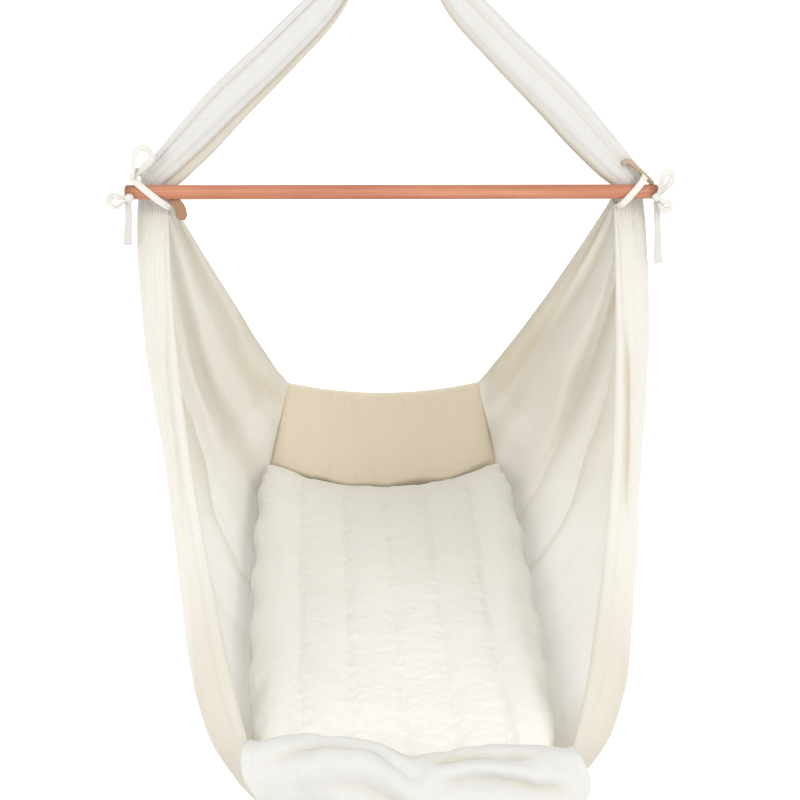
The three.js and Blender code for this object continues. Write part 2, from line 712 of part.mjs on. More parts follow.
// Foot wall: up from the floor's seam, then rolled over outwards into a flap that hangs in folds.
// Shares of the roll's depth, of the flap's drop, width and fold depth, for the rows after the seam.
const FLAP_OUT_SHARES = [0.14, 0.4, 0.62, 0.74, 0.68, 0.79, 0.7];
const FLAP_DROP_SHARES = [-0.05, -0.03, 0.14, 0.32, 0.44, 0.68, 1];
const FLAP_WIDTH_SHARES = [1.01, 1.02, 1.02, 1, 0.99, 0.95, 0.88];
const FLAP_FOLD_SHARES = [0.1, 0.2, 0.4, 0.6, 0.8, 1, 1];
const FLAP_BOW_SHARE = 0.3;
const SEAM_BOW_SHARES = [0, 0.3, 0.4, 0.34];
const HUMP_DIP_SHARE = 0.5;
const FLAP_COLUMNS = 24;
const FLAP_FOLDS = 3.5;

// The top edge has a hump on each side of a dip in the middle.
function topHump(s) {
  return FOOT_HUMP_H * (Math.abs(Math.sin(Math.PI * s)) - HUMP_DIP_SHARE * (1 - s * s));
}

function flapPoint(row, s) {
  const middle = 1 - s * s;
  const wave = Math.cos(Math.PI * FLAP_FOLDS * (s + 1));
  const fold = FOOT_FOLD_D * FLAP_FOLD_SHARES[row] * middle * wave;
  const drop = FLAP_DROP_SHARES[row];
  return point(
    FOOT_HALF_W * FLAP_WIDTH_SHARES[row] * s,
    FOOT_Y - FOOT_ROLL_D * (FLAP_OUT_SHARES[row] + FLAP_BOW_SHARE * middle) - fold,
    FOOT_TOP_Z - FOOT_FLAP_DROP * drop + topHump(s) * (1 - Math.max(drop, 0)),
  );
}

function makeFootPanel() {
  const grid = [];
  const columns = Array.from({ length: FLAP_COLUMNS + 1 }, (_, column) => column);
  const across = columns.map((column) => (2 * column) / FLAP_COLUMNS - 1);
  SEAM_BOW_SHARES.forEach((bow, row) => {
    const edge = wallSeam(SEAM_STEPS - row);
    const rise = row / SEAM_STEPS;
    grid.push(across.map((s) => point(
      (-edge.x - SEAM_GAP) * s,
      edge.y - bow * FOOT_ROLL_D * (1 - s * s),
      edge.z - FLOOR_SAG * (1 - rise) * (1 - s * s) + topHump(s) * rise * rise,
    )));
  });
  FLAP_OUT_SHARES.forEach((_, row) => grid.push(across.map((s) => flapPoint(row, s))));
  return panel(grid, (row) => (row === grid.length - 1 ? HEM_T : CLOTH_T));
}

// Pad: crowned, drawn in at its sides, with lengthwise channels and a wavy edge
const PAD_COLUMNS = 4 * PAD_CHANNELS;
const PAD_ROWS = 14;
const PAD_CORNER_SHARE = 0.06;
const PAD_EDGE_SHARE = 0.28;
const PAD_LIFT_EXPONENT = 2.4;
const PAD_HEAD_EXPONENT = 3;
const PAD_EDGE_EXPONENT = 6;

function padPoint(s, t, upper) {
  const halfL = (FLOOR_HEAD_Y - FLOOR_FOOT_Y) / 2 - PAD_END_GAP;
  const endRound = 1 - (PAD_CORNER_SHARE * s ** PAD_EDGE_EXPONENT) / 2;
  const y = (FLOOR_HEAD_Y + FLOOR_FOOT_Y) / 2 + t * halfL * endRound;
  const share = (y - FLOOR_FOOT_Y) / (FLOOR_HEAD_Y - FLOOR_FOOT_Y);
  const halfW = THREE.MathUtils.lerp(PAD_FOOT_HALF_W, PAD_HEAD_HALF_W, share)
    - PAD_WAVE * Math.cos(PAD_CHANNELS * Math.PI * t);
  const x = s * halfW * (1 - PAD_CORNER_SHARE * t ** PAD_EDGE_EXPONENT);
  const rest = floorMiddle(0, share).z + CLOTH_T / 2 + RUN_GAP;
  const byHead = share ** PAD_HEAD_EXPONENT;
  const lift = THREE.MathUtils.lerp(PAD_LIFT, PAD_HEAD_LIFT, byHead) * Math.abs(s) ** PAD_LIFT_EXPONENT;
  const fill = Math.sqrt((1 - s ** PAD_EDGE_EXPONENT) * (1 - t ** (2 * PAD_EDGE_EXPONENT)));
  const crown = THREE.MathUtils.lerp(PAD_EDGE_SHARE, 1, fill);
  if (!upper) {
    return point(x, y, rest + lift + (PAD_T * (1 - crown)) / 2);
  }
  const lean = PAD_HEAD_LEAN * byHead ** 2;
  const channel = PAD_CHANNEL_D * fill * (1 + Math.cos(PAD_CHANNELS * Math.PI * (s + 1))) / 2;
  return point(x, y + lean, rest + lift + (PAD_T * (1 + crown)) / 2 - channel);
}

function makeMattress() {
  const surface = (upper) => Array.from({ length: PAD_ROWS + 1 }, (_, row) => (
    Array.from({ length: PAD_COLUMNS + 1 }, (__, column) => (
      padPoint((2 * column) / PAD_COLUMNS - 1, (2 * row) / PAD_ROWS - 1, upper)
    ))
  ));
  return shell(surface(true), surface(false));
}

// Tape lashed round the bar and the gather, higher at its outer end
const LASH_SLOPE = THREE.MathUtils.degToRad(LASH_SLOPE_DEG);
const LASH_HALF_W = GATHER_HALF_W + TAPE_GAP + (TAPE_T + TAPE_W * Math.sin(LASH_SLOPE)) / 2;

function makeLashing() {
  const inwards = point(Math.cos(LASH_SLOPE), 0, -Math.sin(LASH_SLOPE));
  const width = point(Math.sin(LASH_SLOPE), 0, Math.cos(LASH_SLOPE));
  const clear = TAPE_GAP + TAPE_T / 2;
  const front = -BAR_R - clear;
  const back = GATHER_Y + GATHER_HALF_D + LASH_SLACK;
  const reach = LASH_HALF_W / Math.cos(LASH_SLOPE);
  const middle = point(-GATHER_X, (front + back) / 2, 0);
  const path = ringOf(24, (angle) => middle.clone()
    .addScaledVector(inwards, reach * boxy(Math.cos(angle)))
    .add(point(0, ((back - front) / 2) * boxy(Math.sin(angle)), 0)));
  return sweep(path, tapeSection(TAPE_W, TAPE_T), { loop: true, sideAt: () => width });
}

// Bows. Each loop starts and ends in the knot; shares are of the loop's own reach.
const LOOP_ALONG_SHARES = [0, 0.35, 0.75, 1, 0.82, 0.42, 0];
const LOOP_ASIDE_SHARES = [0.05, 0.26, 0.28, 0, -0.26, -0.24, -0.05];
const KNOT_DROP = KNOT_R / 2;
const KNOT_Y = -Math.sqrt((BAR_R + KNOT_R + RUN_GAP) ** 2 - KNOT_DROP ** 2);
const LEFT_KNOT = point(-BAR_L / 2 + KNOT_R, KNOT_Y, -KNOT_DROP);
const RIGHT_KNOT = point(BAR_L / 2 - KNOT_R / 2, KNOT_Y, -KNOT_DROP);
const LEFT_OUT_LOOP = { reach: 25, turn: 207 };
const LEFT_UP_LOOP = { reach: 60, turn: 67 };
const RIGHT_UP_LOOP = { reach: 36, turn: 61 };
const RIGHT_LOW_LOOP = { reach: 20, turn: 300 };

function bowLoop(knot, { reach, turn }) {
  const angle = THREE.MathUtils.degToRad(turn);
  const along = point(Math.cos(angle), 0, Math.sin(angle));
  const aside = point(-Math.sin(angle), 0, Math.cos(angle));
  const path = LOOP_ALONG_SHARES.map((share, i) => knot.clone()
    .addScaledVector(along, reach * share)
    .addScaledVector(aside, reach * LOOP_ASIDE_SHARES[i])
    .add(point(0, -BOW_R * Math.sin(Math.PI * share), 0)));
  const smooth = new THREE.CatmullRomCurve3(path).getPoints(14);
  return sweep(smooth, roundSection(BOW_R, 6), { sideAt: () => point(0, 1, 0) });
}

function makeBow(knot, loops) {
  const ball = new THREE.SphereGeometry(KNOT_R, 10, 8).translate(knot.x, knot.y, knot.z);
  return joined(ball, ...loops.map((loop) => bowLoop(knot, loop)));
}

// Loose ends of the tape: straight down from the knots
const TAIL_FROM_KNOT = point(0, BOW_R + TAIL_R + RUN_GAP, -KNOT_R - RUN_GAP);
const LEFT_TAIL_TOP = LEFT_KNOT.clone().add(TAIL_FROM_KNOT);
const RIGHT_TAIL_TOP = RIGHT_KNOT.clone().add(TAIL_FROM_KNOT);

function makeTail(top, length) {
  const steps = Math.round(length / (4 * TAIL_R));
  const down = (i) => point(0, 0, (-length * i) / steps);
  const path = Array.from({ length: steps + 1 }, (_, i) => top.clone().add(down(i)));
  return sweep(path, roundSection(TAIL_R, 8), { sideAt: () => point(1, 0, 0) });
}

// Tan ends: a tape that comes round the back of the bar and hangs below it,
// and a cord that stands along the front of the sling
const TAN_HANG_SHARES = [[0.34, 0.12], [0.46, 0.4], [0.5, 1]];
const TAN_RISE_SHARES = [
  [0.95, 0.38, 1.33],
  [0.922, 0.63, 2.25],
  [0.89, 0.95, 3.4],
  [0.865, 1.1, 4.1],
  [0.845, 1.05, 3.8],
];

function makeTanTab() {
  const turnR = BAR_R + TAPE_GAP + TAPE_T / 2;
  const x = LASH_HALF_W + (TAPE_W * Math.sin(LASH_SLOPE)) / 2 + TAPE_GAP + TAB_W / 2 - GATHER_X;
  const path = arc([0, 0], turnR, 0, -100, 7).map(([y, z]) => point(x, y, z));
  for (const [forward, down] of TAN_HANG_SHARES) {
    path.push(point(x, -turnR * forward, -turnR - TAB_L * down));
  }
  return sweep(path, tapeSection(TAB_W, TAPE_T), { sideAt: () => point(1, 0, 0) });
}

function makeTanCord() {
  const half = BAR_L / 2;
  const path = TAN_RISE_SHARES.map(([x, y, z]) => point(half * x, BAR_R * y, BAR_R * z));
  const smooth = new THREE.CatmullRomCurve3(path).getPoints(10);
  return sweep(smooth, roundSection(TAN_CORD_R, 8), { sideAt: () => point(0, 1, 0) });
}

// Materials

function paint(color, roughness, metalness) {
  return new THREE.MeshStandardMaterial({ color, roughness, metalness });
}

const steel = () => paint(0xb9bcc0, 0.32, 1);
const zinc = () => paint(0xa3a7ab, 0.45, 1);
const brass = () => paint(0xc2a25a, 0.4, 1);
const cotton = () => paint(0xf3eee2, 0.9, 0);
const shadedCotton = () => paint(0xe4dcc8, 0.92, 0);
const padCotton = () => paint(0xf7f4ec, 0.88, 0);
const tape = () => paint(0xeeeade, 0.85, 0);
const tanTape = () => paint(0xc4a98c, 0.8, 0);
const varnishedWood = () => paint(0xd98a62, 0.35, 0);

// Assembly

function mesh(name, geometry, material) {
  const made = new THREE.Mesh(geometry, material);
  made.name = name;
  return made;
}

function hangingHardware() {
  const group = new THREE.Group();
  group.add(
    mesh('swivel_eye', makeSwivelEye(), zinc()),
    mesh('swivel_washer', welded(makeSwivelWasher()), brass()),
    mesh('swivel_link', makeSwivelLink(), zinc()),
    mesh('spring', makeSpring(), steel()),
    mesh('carabiner_body', makeCarabinerBody(), steel()),
    mesh('carabiner_gate', makeCarabinerGate(), steel()),
    mesh('carabiner_pin', welded(makeCarabinerPin()), steel()),
    mesh('d_ring', makeDRing(), steel()),
  );
  return group;
}

function clothCradle() {
  const group = new THREE.Group();
  const [wall, lashing] = [makeSideWall(), makeLashing()];
  group.add(
    mesh('spreader_bar', welded(makeSpreaderBar()), varnishedWood()),
    mesh('sling_left', makeSling(-SLING_SPREAD), cotton()),
    mesh('sling_right', mirrored(makeSling(SLING_SPREAD)), cotton()),
    mesh('whipping_left', makeWhipping(-SLING_SPREAD), tape()),
    mesh('whipping_right', mirrored(makeWhipping(SLING_SPREAD)), tape()),
    mesh('side_wall_left', wall, cotton()),
    mesh('side_wall_right', mirrored(wall), cotton()),
    mesh('base_panel', makeBasePanel(), shadedCotton()),
    mesh('head_panel', makeHeadPanel(), shadedCotton()),
    mesh('foot_panel', makeFootPanel(), cotton()),
    mesh('mattress', makeMattress(), padCotton()),
    mesh('lashing_left', lashing, tape()),
    mesh('lashing_right', mirrored(lashing), tape()),
    mesh('bow_left', makeBow(LEFT_KNOT, [LEFT_OUT_LOOP, LEFT_UP_LOOP]), tape()),
    mesh('bow_right', makeBow(RIGHT_KNOT, [RIGHT_UP_LOOP, RIGHT_LOW_LOOP]), tape()),
    mesh('tie_tail_left', makeTail(LEFT_TAIL_TOP, TAIL_LEFT_L), tape()),
    mesh('tie_tail_right', makeTail(RIGHT_TAIL_TOP, TAIL_RIGHT_L), tape()),
    mesh('tan_tab_left', makeTanTab(), tanTape()),
    mesh('tan_cord_right', makeTanCord(), tanTape()),
  );
  group.position.z = BAR_Z;
  return group;
}

const cradle = new THREE.Group();
cradle.add(hangingHardware(), clothCradle());

export default cradle;
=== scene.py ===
"""A hanging baby cradle: cloth bed, fanned walls, wooden bar, slings, spring and swivel.

Metres, +Z up. X runs along the bar, -Y is the foot end and +Y the head end.
Cloth is laid out as a grid: across runs from the foot hem to the head hem, and down
from the gather to the seams. Places are counted from the middle of the bar.
"""

import math
from contextlib import contextmanager

import bmesh
import bpy
import numpy as np
from mathutils import Matrix, Vector
from mathutils.bvhtree import BVHTree


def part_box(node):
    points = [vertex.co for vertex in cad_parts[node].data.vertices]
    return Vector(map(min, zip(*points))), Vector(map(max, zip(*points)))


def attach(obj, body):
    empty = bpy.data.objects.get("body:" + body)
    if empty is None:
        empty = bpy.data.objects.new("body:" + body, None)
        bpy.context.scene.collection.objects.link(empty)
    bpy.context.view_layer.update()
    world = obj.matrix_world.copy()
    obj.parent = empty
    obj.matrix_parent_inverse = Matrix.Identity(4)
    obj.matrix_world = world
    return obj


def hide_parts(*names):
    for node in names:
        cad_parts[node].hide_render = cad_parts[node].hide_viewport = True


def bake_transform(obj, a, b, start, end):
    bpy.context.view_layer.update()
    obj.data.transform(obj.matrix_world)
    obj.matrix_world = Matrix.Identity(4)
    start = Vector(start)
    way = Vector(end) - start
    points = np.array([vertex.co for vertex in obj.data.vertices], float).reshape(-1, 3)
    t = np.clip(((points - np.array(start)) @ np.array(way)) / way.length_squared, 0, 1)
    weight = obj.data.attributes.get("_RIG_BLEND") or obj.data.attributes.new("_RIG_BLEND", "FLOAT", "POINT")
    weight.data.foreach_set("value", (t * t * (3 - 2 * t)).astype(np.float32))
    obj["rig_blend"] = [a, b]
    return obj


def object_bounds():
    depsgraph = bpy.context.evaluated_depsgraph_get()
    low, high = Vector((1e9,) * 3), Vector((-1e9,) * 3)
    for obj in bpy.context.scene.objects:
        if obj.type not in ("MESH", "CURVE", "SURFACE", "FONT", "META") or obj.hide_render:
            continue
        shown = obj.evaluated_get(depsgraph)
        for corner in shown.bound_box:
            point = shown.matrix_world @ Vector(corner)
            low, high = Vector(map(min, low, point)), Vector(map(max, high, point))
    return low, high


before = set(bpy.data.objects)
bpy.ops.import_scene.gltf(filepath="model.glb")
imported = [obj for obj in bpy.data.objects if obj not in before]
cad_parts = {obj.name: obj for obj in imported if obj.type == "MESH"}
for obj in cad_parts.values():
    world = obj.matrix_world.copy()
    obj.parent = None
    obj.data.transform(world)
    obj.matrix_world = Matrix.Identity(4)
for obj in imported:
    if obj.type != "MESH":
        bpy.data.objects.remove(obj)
cad_box = [list(corner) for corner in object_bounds()]

# Camera, as fitted to the view
CAMERA_AT = (-0.0591, -2.3094, 0.0250)
CAMERA_DOWN_DEG = 20.1
CAMERA_TURN_DEG = 1.71
CAMERA_ROLL_DEG = 0.35
CAMERA_LENS_MM = 97.2

# Bar and gathers
BAR_LOW, BAR_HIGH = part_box("spreader_bar")
BAR_Z = (BAR_LOW.z + BAR_HIGH.z) / 2
BAR_R = (BAR_HIGH.z - BAR_LOW.z) / 2
BAR_HALF_L = BAR_HIGH.x
BAR_END_ROUND = 0.003
TAPE_GAP = 0.0006
BAR_OVERHANG = 0.0335
GATHER_X = BAR_HALF_L - BAR_OVERHANG
GATHER_HALF_W = 0.020
GATHER_HALF_D = 0.012
GATHER_INSET_W = 0.0022
GATHER_INSET_D = 0.0044
GATHER_OPEN_DEG = 45.0
GATHER_Y = BAR_R + TAPE_GAP + GATHER_HALF_D

# Cloth bed
CLOTH_T = 0.0014
HEM_T = 0.0042
HEM_W_SHARE = 0.022
END_SHARE = 0.1
FOOT_HALF_W = 0.161
FOOT_Y = -0.385
FOOT_TOP_Z = -0.475
HEAD_HALF_W = 0.130
HEAD_Y = 0.433
HEAD_TOP_Z = -0.377
FLOOR_FOOT_HALF_W = 0.150
FLOOR_HEAD_HALF_W = 0.165
FLOOR_SPREAD = 0.006
FLOOR_FOOT_Y = -0.388
FLOOR_HEAD_Y = 0.390
FLOOR_Z = -0.535
FLOOR_DIP = 0.005
FLOOR_SAG = 0.014
BELLY = 0.031
LOW_BELLY = 0.034
LOW_BELLY_RIGHT = 0.039
FOOT_SWAY = 0.008
FOOT_SLUMP = 0.007
SWING_LEFT = -0.007
SWING_RIGHT = 0.005
FOOT_HEM_LEFT = 1.8
FOOT_HEM_RIGHT = 2.5

# Slings
RING_LOW, RING_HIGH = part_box("d_ring")
RING_ROD_R = RING_HIGH.x
SLING_RISE = RING_LOW.z + RING_ROD_R - BAR_Z
SLING_SPREAD = 0.014
SLING_HALF_W = 0.019
LOOP_HALF_W = 0.012
LOOP_HALF_T = 0.0055
LOOP_TAIL_L = 0.046
WHIP_W = 0.012
WHIP_FROM_RING = 0.040

# Tape and cord
TAPE_W = 0.008
TAPE_T = 0.0012
KNOT_R = 0.006
TAIL_R = 0.004
TAIL_T = 0.0022
THREAD_R = 0.00022
STITCH_PITCH = 0.0042
STITCH_L = 0.0027

X_AXIS, Y_AXIS, Z_AXIS = np.eye(3)
LATTICE = 64


# Numbers and surfaces


def mix(a, b, share):
    return a + (b - a) * share


def by_hand(hand, left, right):
    return right if hand < 0 else left


def eased(value, low, high):
    share = np.clip((value - low) / (high - low), 0.0, 1.0)
    return share * share * (3.0 - 2.0 * share)


def between(value, low, up, down, high):
    """From 0 up to 1 and down to 0 again."""
    return eased(value, low, up) * (1.0 - eased(value, down, high))


def spot(value, middle, width):
    """1 in the middle, running out to nothing on both sides."""
    return np.exp(-(((value - middle) / width) ** 2))


def soft_noise(x, y, seed):
    """Smooth random heights from -1 to 1 over a plane, about one bump to a unit."""
    heights = np.random.default_rng(seed).uniform(-1.0, 1.0, (LATTICE, LATTICE))
    left, low = np.floor(x).astype(int), np.floor(y).astype(int)
    fx, fy = eased(x - left, 0.0, 1.0), eased(y - low, 0.0, 1.0)

    def at(i, j):
        return heights[(left + i) % LATTICE, (low + j) % LATTICE]

    return mix(mix(at(0, 0), at(1, 0), fx), mix(at(0, 1), at(1, 1), fx), fy)


def smooth_through(stations, count):
    """Catmull-Rom through rows of numbers, as count rows evenly spread over the stations."""
    rows = np.asarray(stations, float)
    padded = np.vstack([2 * rows[0] - rows[1], rows, 2 * rows[-1] - rows[-2]])
    at = np.linspace(0.0, len(rows) - 1.0, count)
    k = np.minimum(at.astype(int), len(rows) - 2)
    t = (at - k)[:, None]
    p0, p1, p2, p3 = (padded[k + i] for i in range(4))
    return 0.5 * (
        2 * p1
        + (p2 - p0) * t
        + (2 * p0 - 5 * p1 + 4 * p2 - p3) * t**2
        + (3 * p1 - p0 - 3 * p2 + p3) * t**3
    )


def unit(vectors):
    return vectors / np.maximum(np.linalg.norm(vectors, axis=-1, keepdims=True), 1e-12)


def grid_normals(points):
    return unit(np.cross(np.gradient(points, axis=0), np.gradient(points, axis=1)))


def lengths_along(points, axis):
    steps = np.linalg.norm(np.diff(points, axis=axis), axis=-1)
    return np.concatenate([np.zeros_like(np.take(steps, [0], axis)), np.cumsum(steps, axis)], axis)


def furrow(u, v, line, width):
    """A soft crest from 0 to 1 along a line over the cloth, that dies away at both ends."""
    near = np.full(np.shape(u), np.inf)
    ends = np.asarray(line, float)
    total = len(ends) - 1
    crest = np.zeros(np.shape(u))
    for i in range(total):
        a, way = ends[i], ends[i + 1] - ends[i]
        share = np.clip(((u - a[0]) * way[0] + (v - a[1]) * way[1]) / (way @ way), 0.0, 1.0)
        apart = np.hypot(u - a[0] - share * way[0], v - a[1] - share * way[1])
        closer = apart < near
        near = np.where(closer, apart, near)
        crest = np.where(closer, np.sin(math.pi * np.clip((i + share) / total, 0.02, 0.98)) ** 0.6, crest)
    return crest * spot(near, 0.0, width)


# Meshes


def grid_object(name, points, uv=None, wrap_rows=False, wrap_columns=False, capped=False, tone=None):
    """A mesh over a grid of points, with a UV map in metres along the cloth.

    The tone, from 0 to 1 at each point, goes into a second map that tints the cloth, mostly with painted
    shade.
    """
    rows, columns = points.shape[:2]
    if uv is None:
        uv = np.stack([lengths_along(points, 1), lengths_along(points, 0)], -1)
    i, j = np.meshgrid(
        np.arange(rows if wrap_rows else rows - 1),
        np.arange(columns if wrap_columns else columns - 1),
        indexing="ij",
    )
    corners = [(i, j), (i + 1, j), (i + 1, j + 1), (i, j + 1)]
    faces = np.stack([(a % rows) * columns + b % columns for a, b in corners], -1).reshape(-1, 4)
    steps = [np.median(np.linalg.norm(np.diff(uv, axis=axis), axis=-1)) for axis in (0, 1)]
    places = np.stack(
        [
            uv[np.minimum(a, rows - 1), np.minimum(b, columns - 1)]
            + np.stack([(b >= columns) * steps[1], (a >= rows) * steps[0]], -1)
            for a, b in corners
        ],
        2,
    ).reshape(-1, 2)
    mesh = bpy.data.meshes.new(name)
    faces = faces.tolist()
    if capped:
        faces += [list(range(columns))[::-1], list(range((rows - 1) * columns, rows * columns))]
        places = np.vstack([places, np.zeros((2 * columns, 2))])
    mesh.from_pydata(points.reshape(-1, 3).tolist(), [], faces)
    layer = mesh.uv_layers.new(name="cloth")
    layer.data.foreach_set("uv", places.astype(np.float32).ravel())
    if tone is not None:
        shades = np.stack([tone[a % rows, b % columns] for a, b in corners], -1).reshape(-1)
        layer = mesh.uv_layers.new(name="tone")
        layer.data.foreach_set("uv", np.stack([shades, shades], -1).astype(np.float32).ravel())
    return new_object(name, mesh)


def new_object(name, data):
    obj = bpy.data.objects.new(name, data)
    bpy.context.scene.collection.objects.link(obj)
    return obj


def place_from_bar(obj):
    obj.data.transform(Matrix.Translation((0.0, 0.0, BAR_Z)))
    return obj


@contextmanager
def editing(obj):
    """The object's mesh, opened for changes that are put back at the end."""
    working = bmesh.new()
    working.from_mesh(obj.data)
    yield working
    working.to_mesh(obj.data)
    working.free()


def outward(obj):
    """Turns the faces of a closed mesh outwards and smooths its shading."""
    with editing(obj) as working:
        bmesh.ops.recalc_face_normals(working, faces=working.faces)
    obj.data.shade_smooth()
    return obj


def made_plain(obj):
    """Puts the result of the object's modifiers into its mesh."""
    graph = bpy.context.evaluated_depsgraph_get()
    result = obj.evaluated_get(graph)
    mesh = bpy.data.meshes.new_from_object(result, preserve_all_data_layers=True, depsgraph=graph)
    obj.modifiers.clear()
    obj.data = mesh
    return obj


def thickened(obj, thickness, weights=None, thin=0.0):
    """Gives a cloth grid its two faces and a rim; weights thicken it at hems."""
    wall = obj.modifiers.new("thickness", "SOLIDIFY")
    wall.thickness = thickness
    wall.offset = 0.0
    wall.use_even_offset = False
    if weights is not None:
        group = obj.vertex_groups.new(name="hem")
        for index, weight in enumerate(np.ravel(weights)):
            group.add([index], float(weight), "REPLACE")
        wall.vertex_group = "hem"
        wall.thickness_vertex_group = thin
    return outward(made_plain(obj))


def mirrored(points, hand):
    return points * np.array([hand, 1.0, 1.0])


def joined(name, parts):
    bpy.ops.object.select_all(action="DESELECT")
    for part in parts:
        part.select_set(True)
    bpy.context.view_layer.objects.active = parts[0]
    bpy.ops.object.join()
    parts[0].name = name
    return parts[0]


def painted(obj, material):
    obj.data.materials.clear()
    obj.data.materials.append(material)
    return obj


def finished(obj, material, slot, *nodes, body="cradle"):
    """Gives a piece its material and the body it rides on, and hides the nodes it stands for; the slot is
    not used.
    """
    painted(obj, material)
    if body:
        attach(obj, body)
    if nodes:
        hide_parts(*nodes)
    return obj


# Sweeps: a section carried along a path


def full_turn(count):
    return np.linspace(0.0, 2 * math.pi, count, endpoint=False)


def carried_sides(path, loop=False, start=Y_AXIS):
    """One crosswise direction at each point of a path, turning as little as it can."""
    ahead = np.roll(path, -1, 0) - np.roll(path, 1, 0) if loop else np.gradient(path, axis=0)
    along = unit(ahead)
    side = np.asarray(start, float)
    sides = []
    for way in along:
        side = side - way * (side @ way)
        side = side / max(np.linalg.norm(side), 1e-9)
        sides.append(side)
    return along, np.array(sides)


def swept_points(path, section, sides=None, loop=False, start=Y_AXIS):
    """Rows of points: each section point is a pair, sideways and across that.

    Where sides are given, as one direction or one to each point, the section faces them.
    """
    path = np.asarray(path, float)
    along, carried = carried_sides(path, loop, start)
    if sides is not None:
        carried = unit(sides - along * np.sum(sides * along, -1, keepdims=True))
    other = np.cross(along, carried)
    section = np.broadcast_to(section, (len(path), *np.shape(section)[-2:]))
    aside = section[:, :, :1] * carried[:, None, :]
    return path[:, None, :] + aside + section[:, :, 1:] * other[:, None, :]


def round_section(radius, count=16):
    turn = full_turn(count)
    return np.stack([radius * np.cos(turn), radius * np.sin(turn)], -1)


def tape_section(width, thickness, count=7):
    """A flat band with rounded edges and a slightly hollow face."""
    across = np.linspace(-1.0, 1.0, count)
    hollow = 0.12 * thickness * (1 - across**2)
    face = np.stack([across * (width - thickness) / 2, np.full(count, thickness / 2) - hollow], -1)
    return np.vstack([face, [[width / 2, 0.0]], face[::-1] * [1, -1], [[-width / 2, 0.0]]])


def swept(name, path, section, sides=None, loop=False, start=Y_AXIS):
    points = swept_points(path, section, sides, loop, start)
    return outward(grid_object(name, points, None, loop, True, not loop))


def lathe(name, outline, sides=96, axis="X", bored=False):
    """A round piece about an axis through the middle; the outline is radius and height pairs."""
    turn = full_turn(sides)
    radius, height = np.asarray(outline, float).T[:, :, None]
    rings = np.stack(np.broadcast_arrays(height, radius * np.cos(turn), radius * np.sin(turn)), -1)
    if axis == "Z":
        rings = rings[:, :, [1, 2, 0]]
    return outward(grid_object(name, rings, None, bored, True, not bored))


def arc(centre, radius, from_deg, to_deg, steps):
    turn = np.radians(np.linspace(from_deg, to_deg, steps + 1))
    return np.stack([centre[0] + radius * np.cos(turn), centre[1] + radius * np.sin(turn)], -1)


def in_plane(pairs, plane):
    flat = np.zeros((len(pairs), 3))
    flat[:, 2] = pairs[:, 1]
    flat[:, 0 if plane == "XZ" else 1] = pairs[:, 0]
    return flat


# Shader node helpers


def new_material(name):
    material = bpy.data.materials.new(name)
    material.use_nodes = True
    return material, material.node_tree, material.node_tree.nodes["Principled BSDF"]


def add_node(tree, kind, **settings):
    node = tree.nodes.new(kind)
    for key, value in settings.items():
        setattr(node, key, value)
    return node


def set_inputs(tree, node, values):
    """Links the values that are sockets and sets the others."""
    for name, value in values.items():
        if isinstance(value, bpy.types.NodeSocket):
            tree.links.new(value, node.inputs[name])
        else:
            node.inputs[name].default_value = value


def math_node(tree, operation, *values):
    node = add_node(tree, "ShaderNodeMath", operation=operation)
    set_inputs(tree, node, dict(enumerate(values)))
    return node.outputs[0]


def mapped(tree, value, low, high, to_low, to_high):
    node = add_node(tree, "ShaderNodeMapRange")
    names = ("Value", "From Min", "From Max", "To Min", "To Max")
    set_inputs(tree, node, dict(zip(names, (value, low, high, to_low, to_high))))
    return node.outputs["Result"]


def noise_of(tree, vector, scale, detail=3.0, roughness=0.5):
    """Noise over a vector; three scales in place of one stretch it along the axes."""
    if isinstance(scale, tuple):
        stretched = add_node(tree, "ShaderNodeMapping")
        set_inputs(tree, stretched, {"Vector": vector, "Scale": scale})
        vector, scale = stretched.outputs["Vector"], 1.0
    node = add_node(tree, "ShaderNodeTexNoise")
    values = {"Vector": vector, "Scale": scale, "Detail": detail, "Roughness": roughness}
    set_inputs(tree, node, values)
    return node.outputs["Fac"]


def blended(tree, share, first, second):
    """A colour between two colours or colour sockets."""
    node = add_node(tree, "ShaderNodeMix", data_type="RGBA")
    set_inputs(tree, node, {"Factor": share})
    for place, value in ((6, first), (7, second)):
        colour = value if isinstance(value, bpy.types.NodeSocket) else (*value, 1.0)
        set_inputs(tree, node, {place: colour})
    return node.outputs[2]


def bumped(tree, shader, height, strength, distance):
    bump = add_node(tree, "ShaderNodeBump")
    set_inputs(tree, bump, {"Strength": strength, "Distance": distance, "Height": height})
    tree.links.new(bump.outputs["Normal"], shader.inputs["Normal"])


def axes_of(tree, vector):
    split = add_node(tree, "ShaderNodeSeparateXYZ")
    tree.links.new(vector, split.inputs[0])
    return split.outputs


def object_place(tree):
    return add_node(tree, "ShaderNodeTexCoord").outputs["Object"]


def mapped_place(tree, name):
    return add_node(tree, "ShaderNodeUVMap", uv_map=name).outputs["UV"]


def new_group(name, inputs, outputs):
    """A group of nodes whose values are all numbers, apart from its vector."""
    tree = bpy.data.node_groups.new(name, "ShaderNodeTree")
    for label in inputs:
        kind = "NodeSocketVector" if label == "Vector" else "NodeSocketFloat"
        tree.interface.new_socket(label, in_out="INPUT", socket_type=kind)
    for label in outputs:
        tree.interface.new_socket(label, in_out="OUTPUT", socket_type="NodeSocketFloat")
    return tree, tree.nodes.new("NodeGroupInput").outputs, tree.nodes.new("NodeGroupOutput")


def use_group(tree, group, values):
    node = add_node(tree, "ShaderNodeGroup", node_tree=group)
    set_inputs(tree, node, values)
    return node.outputs


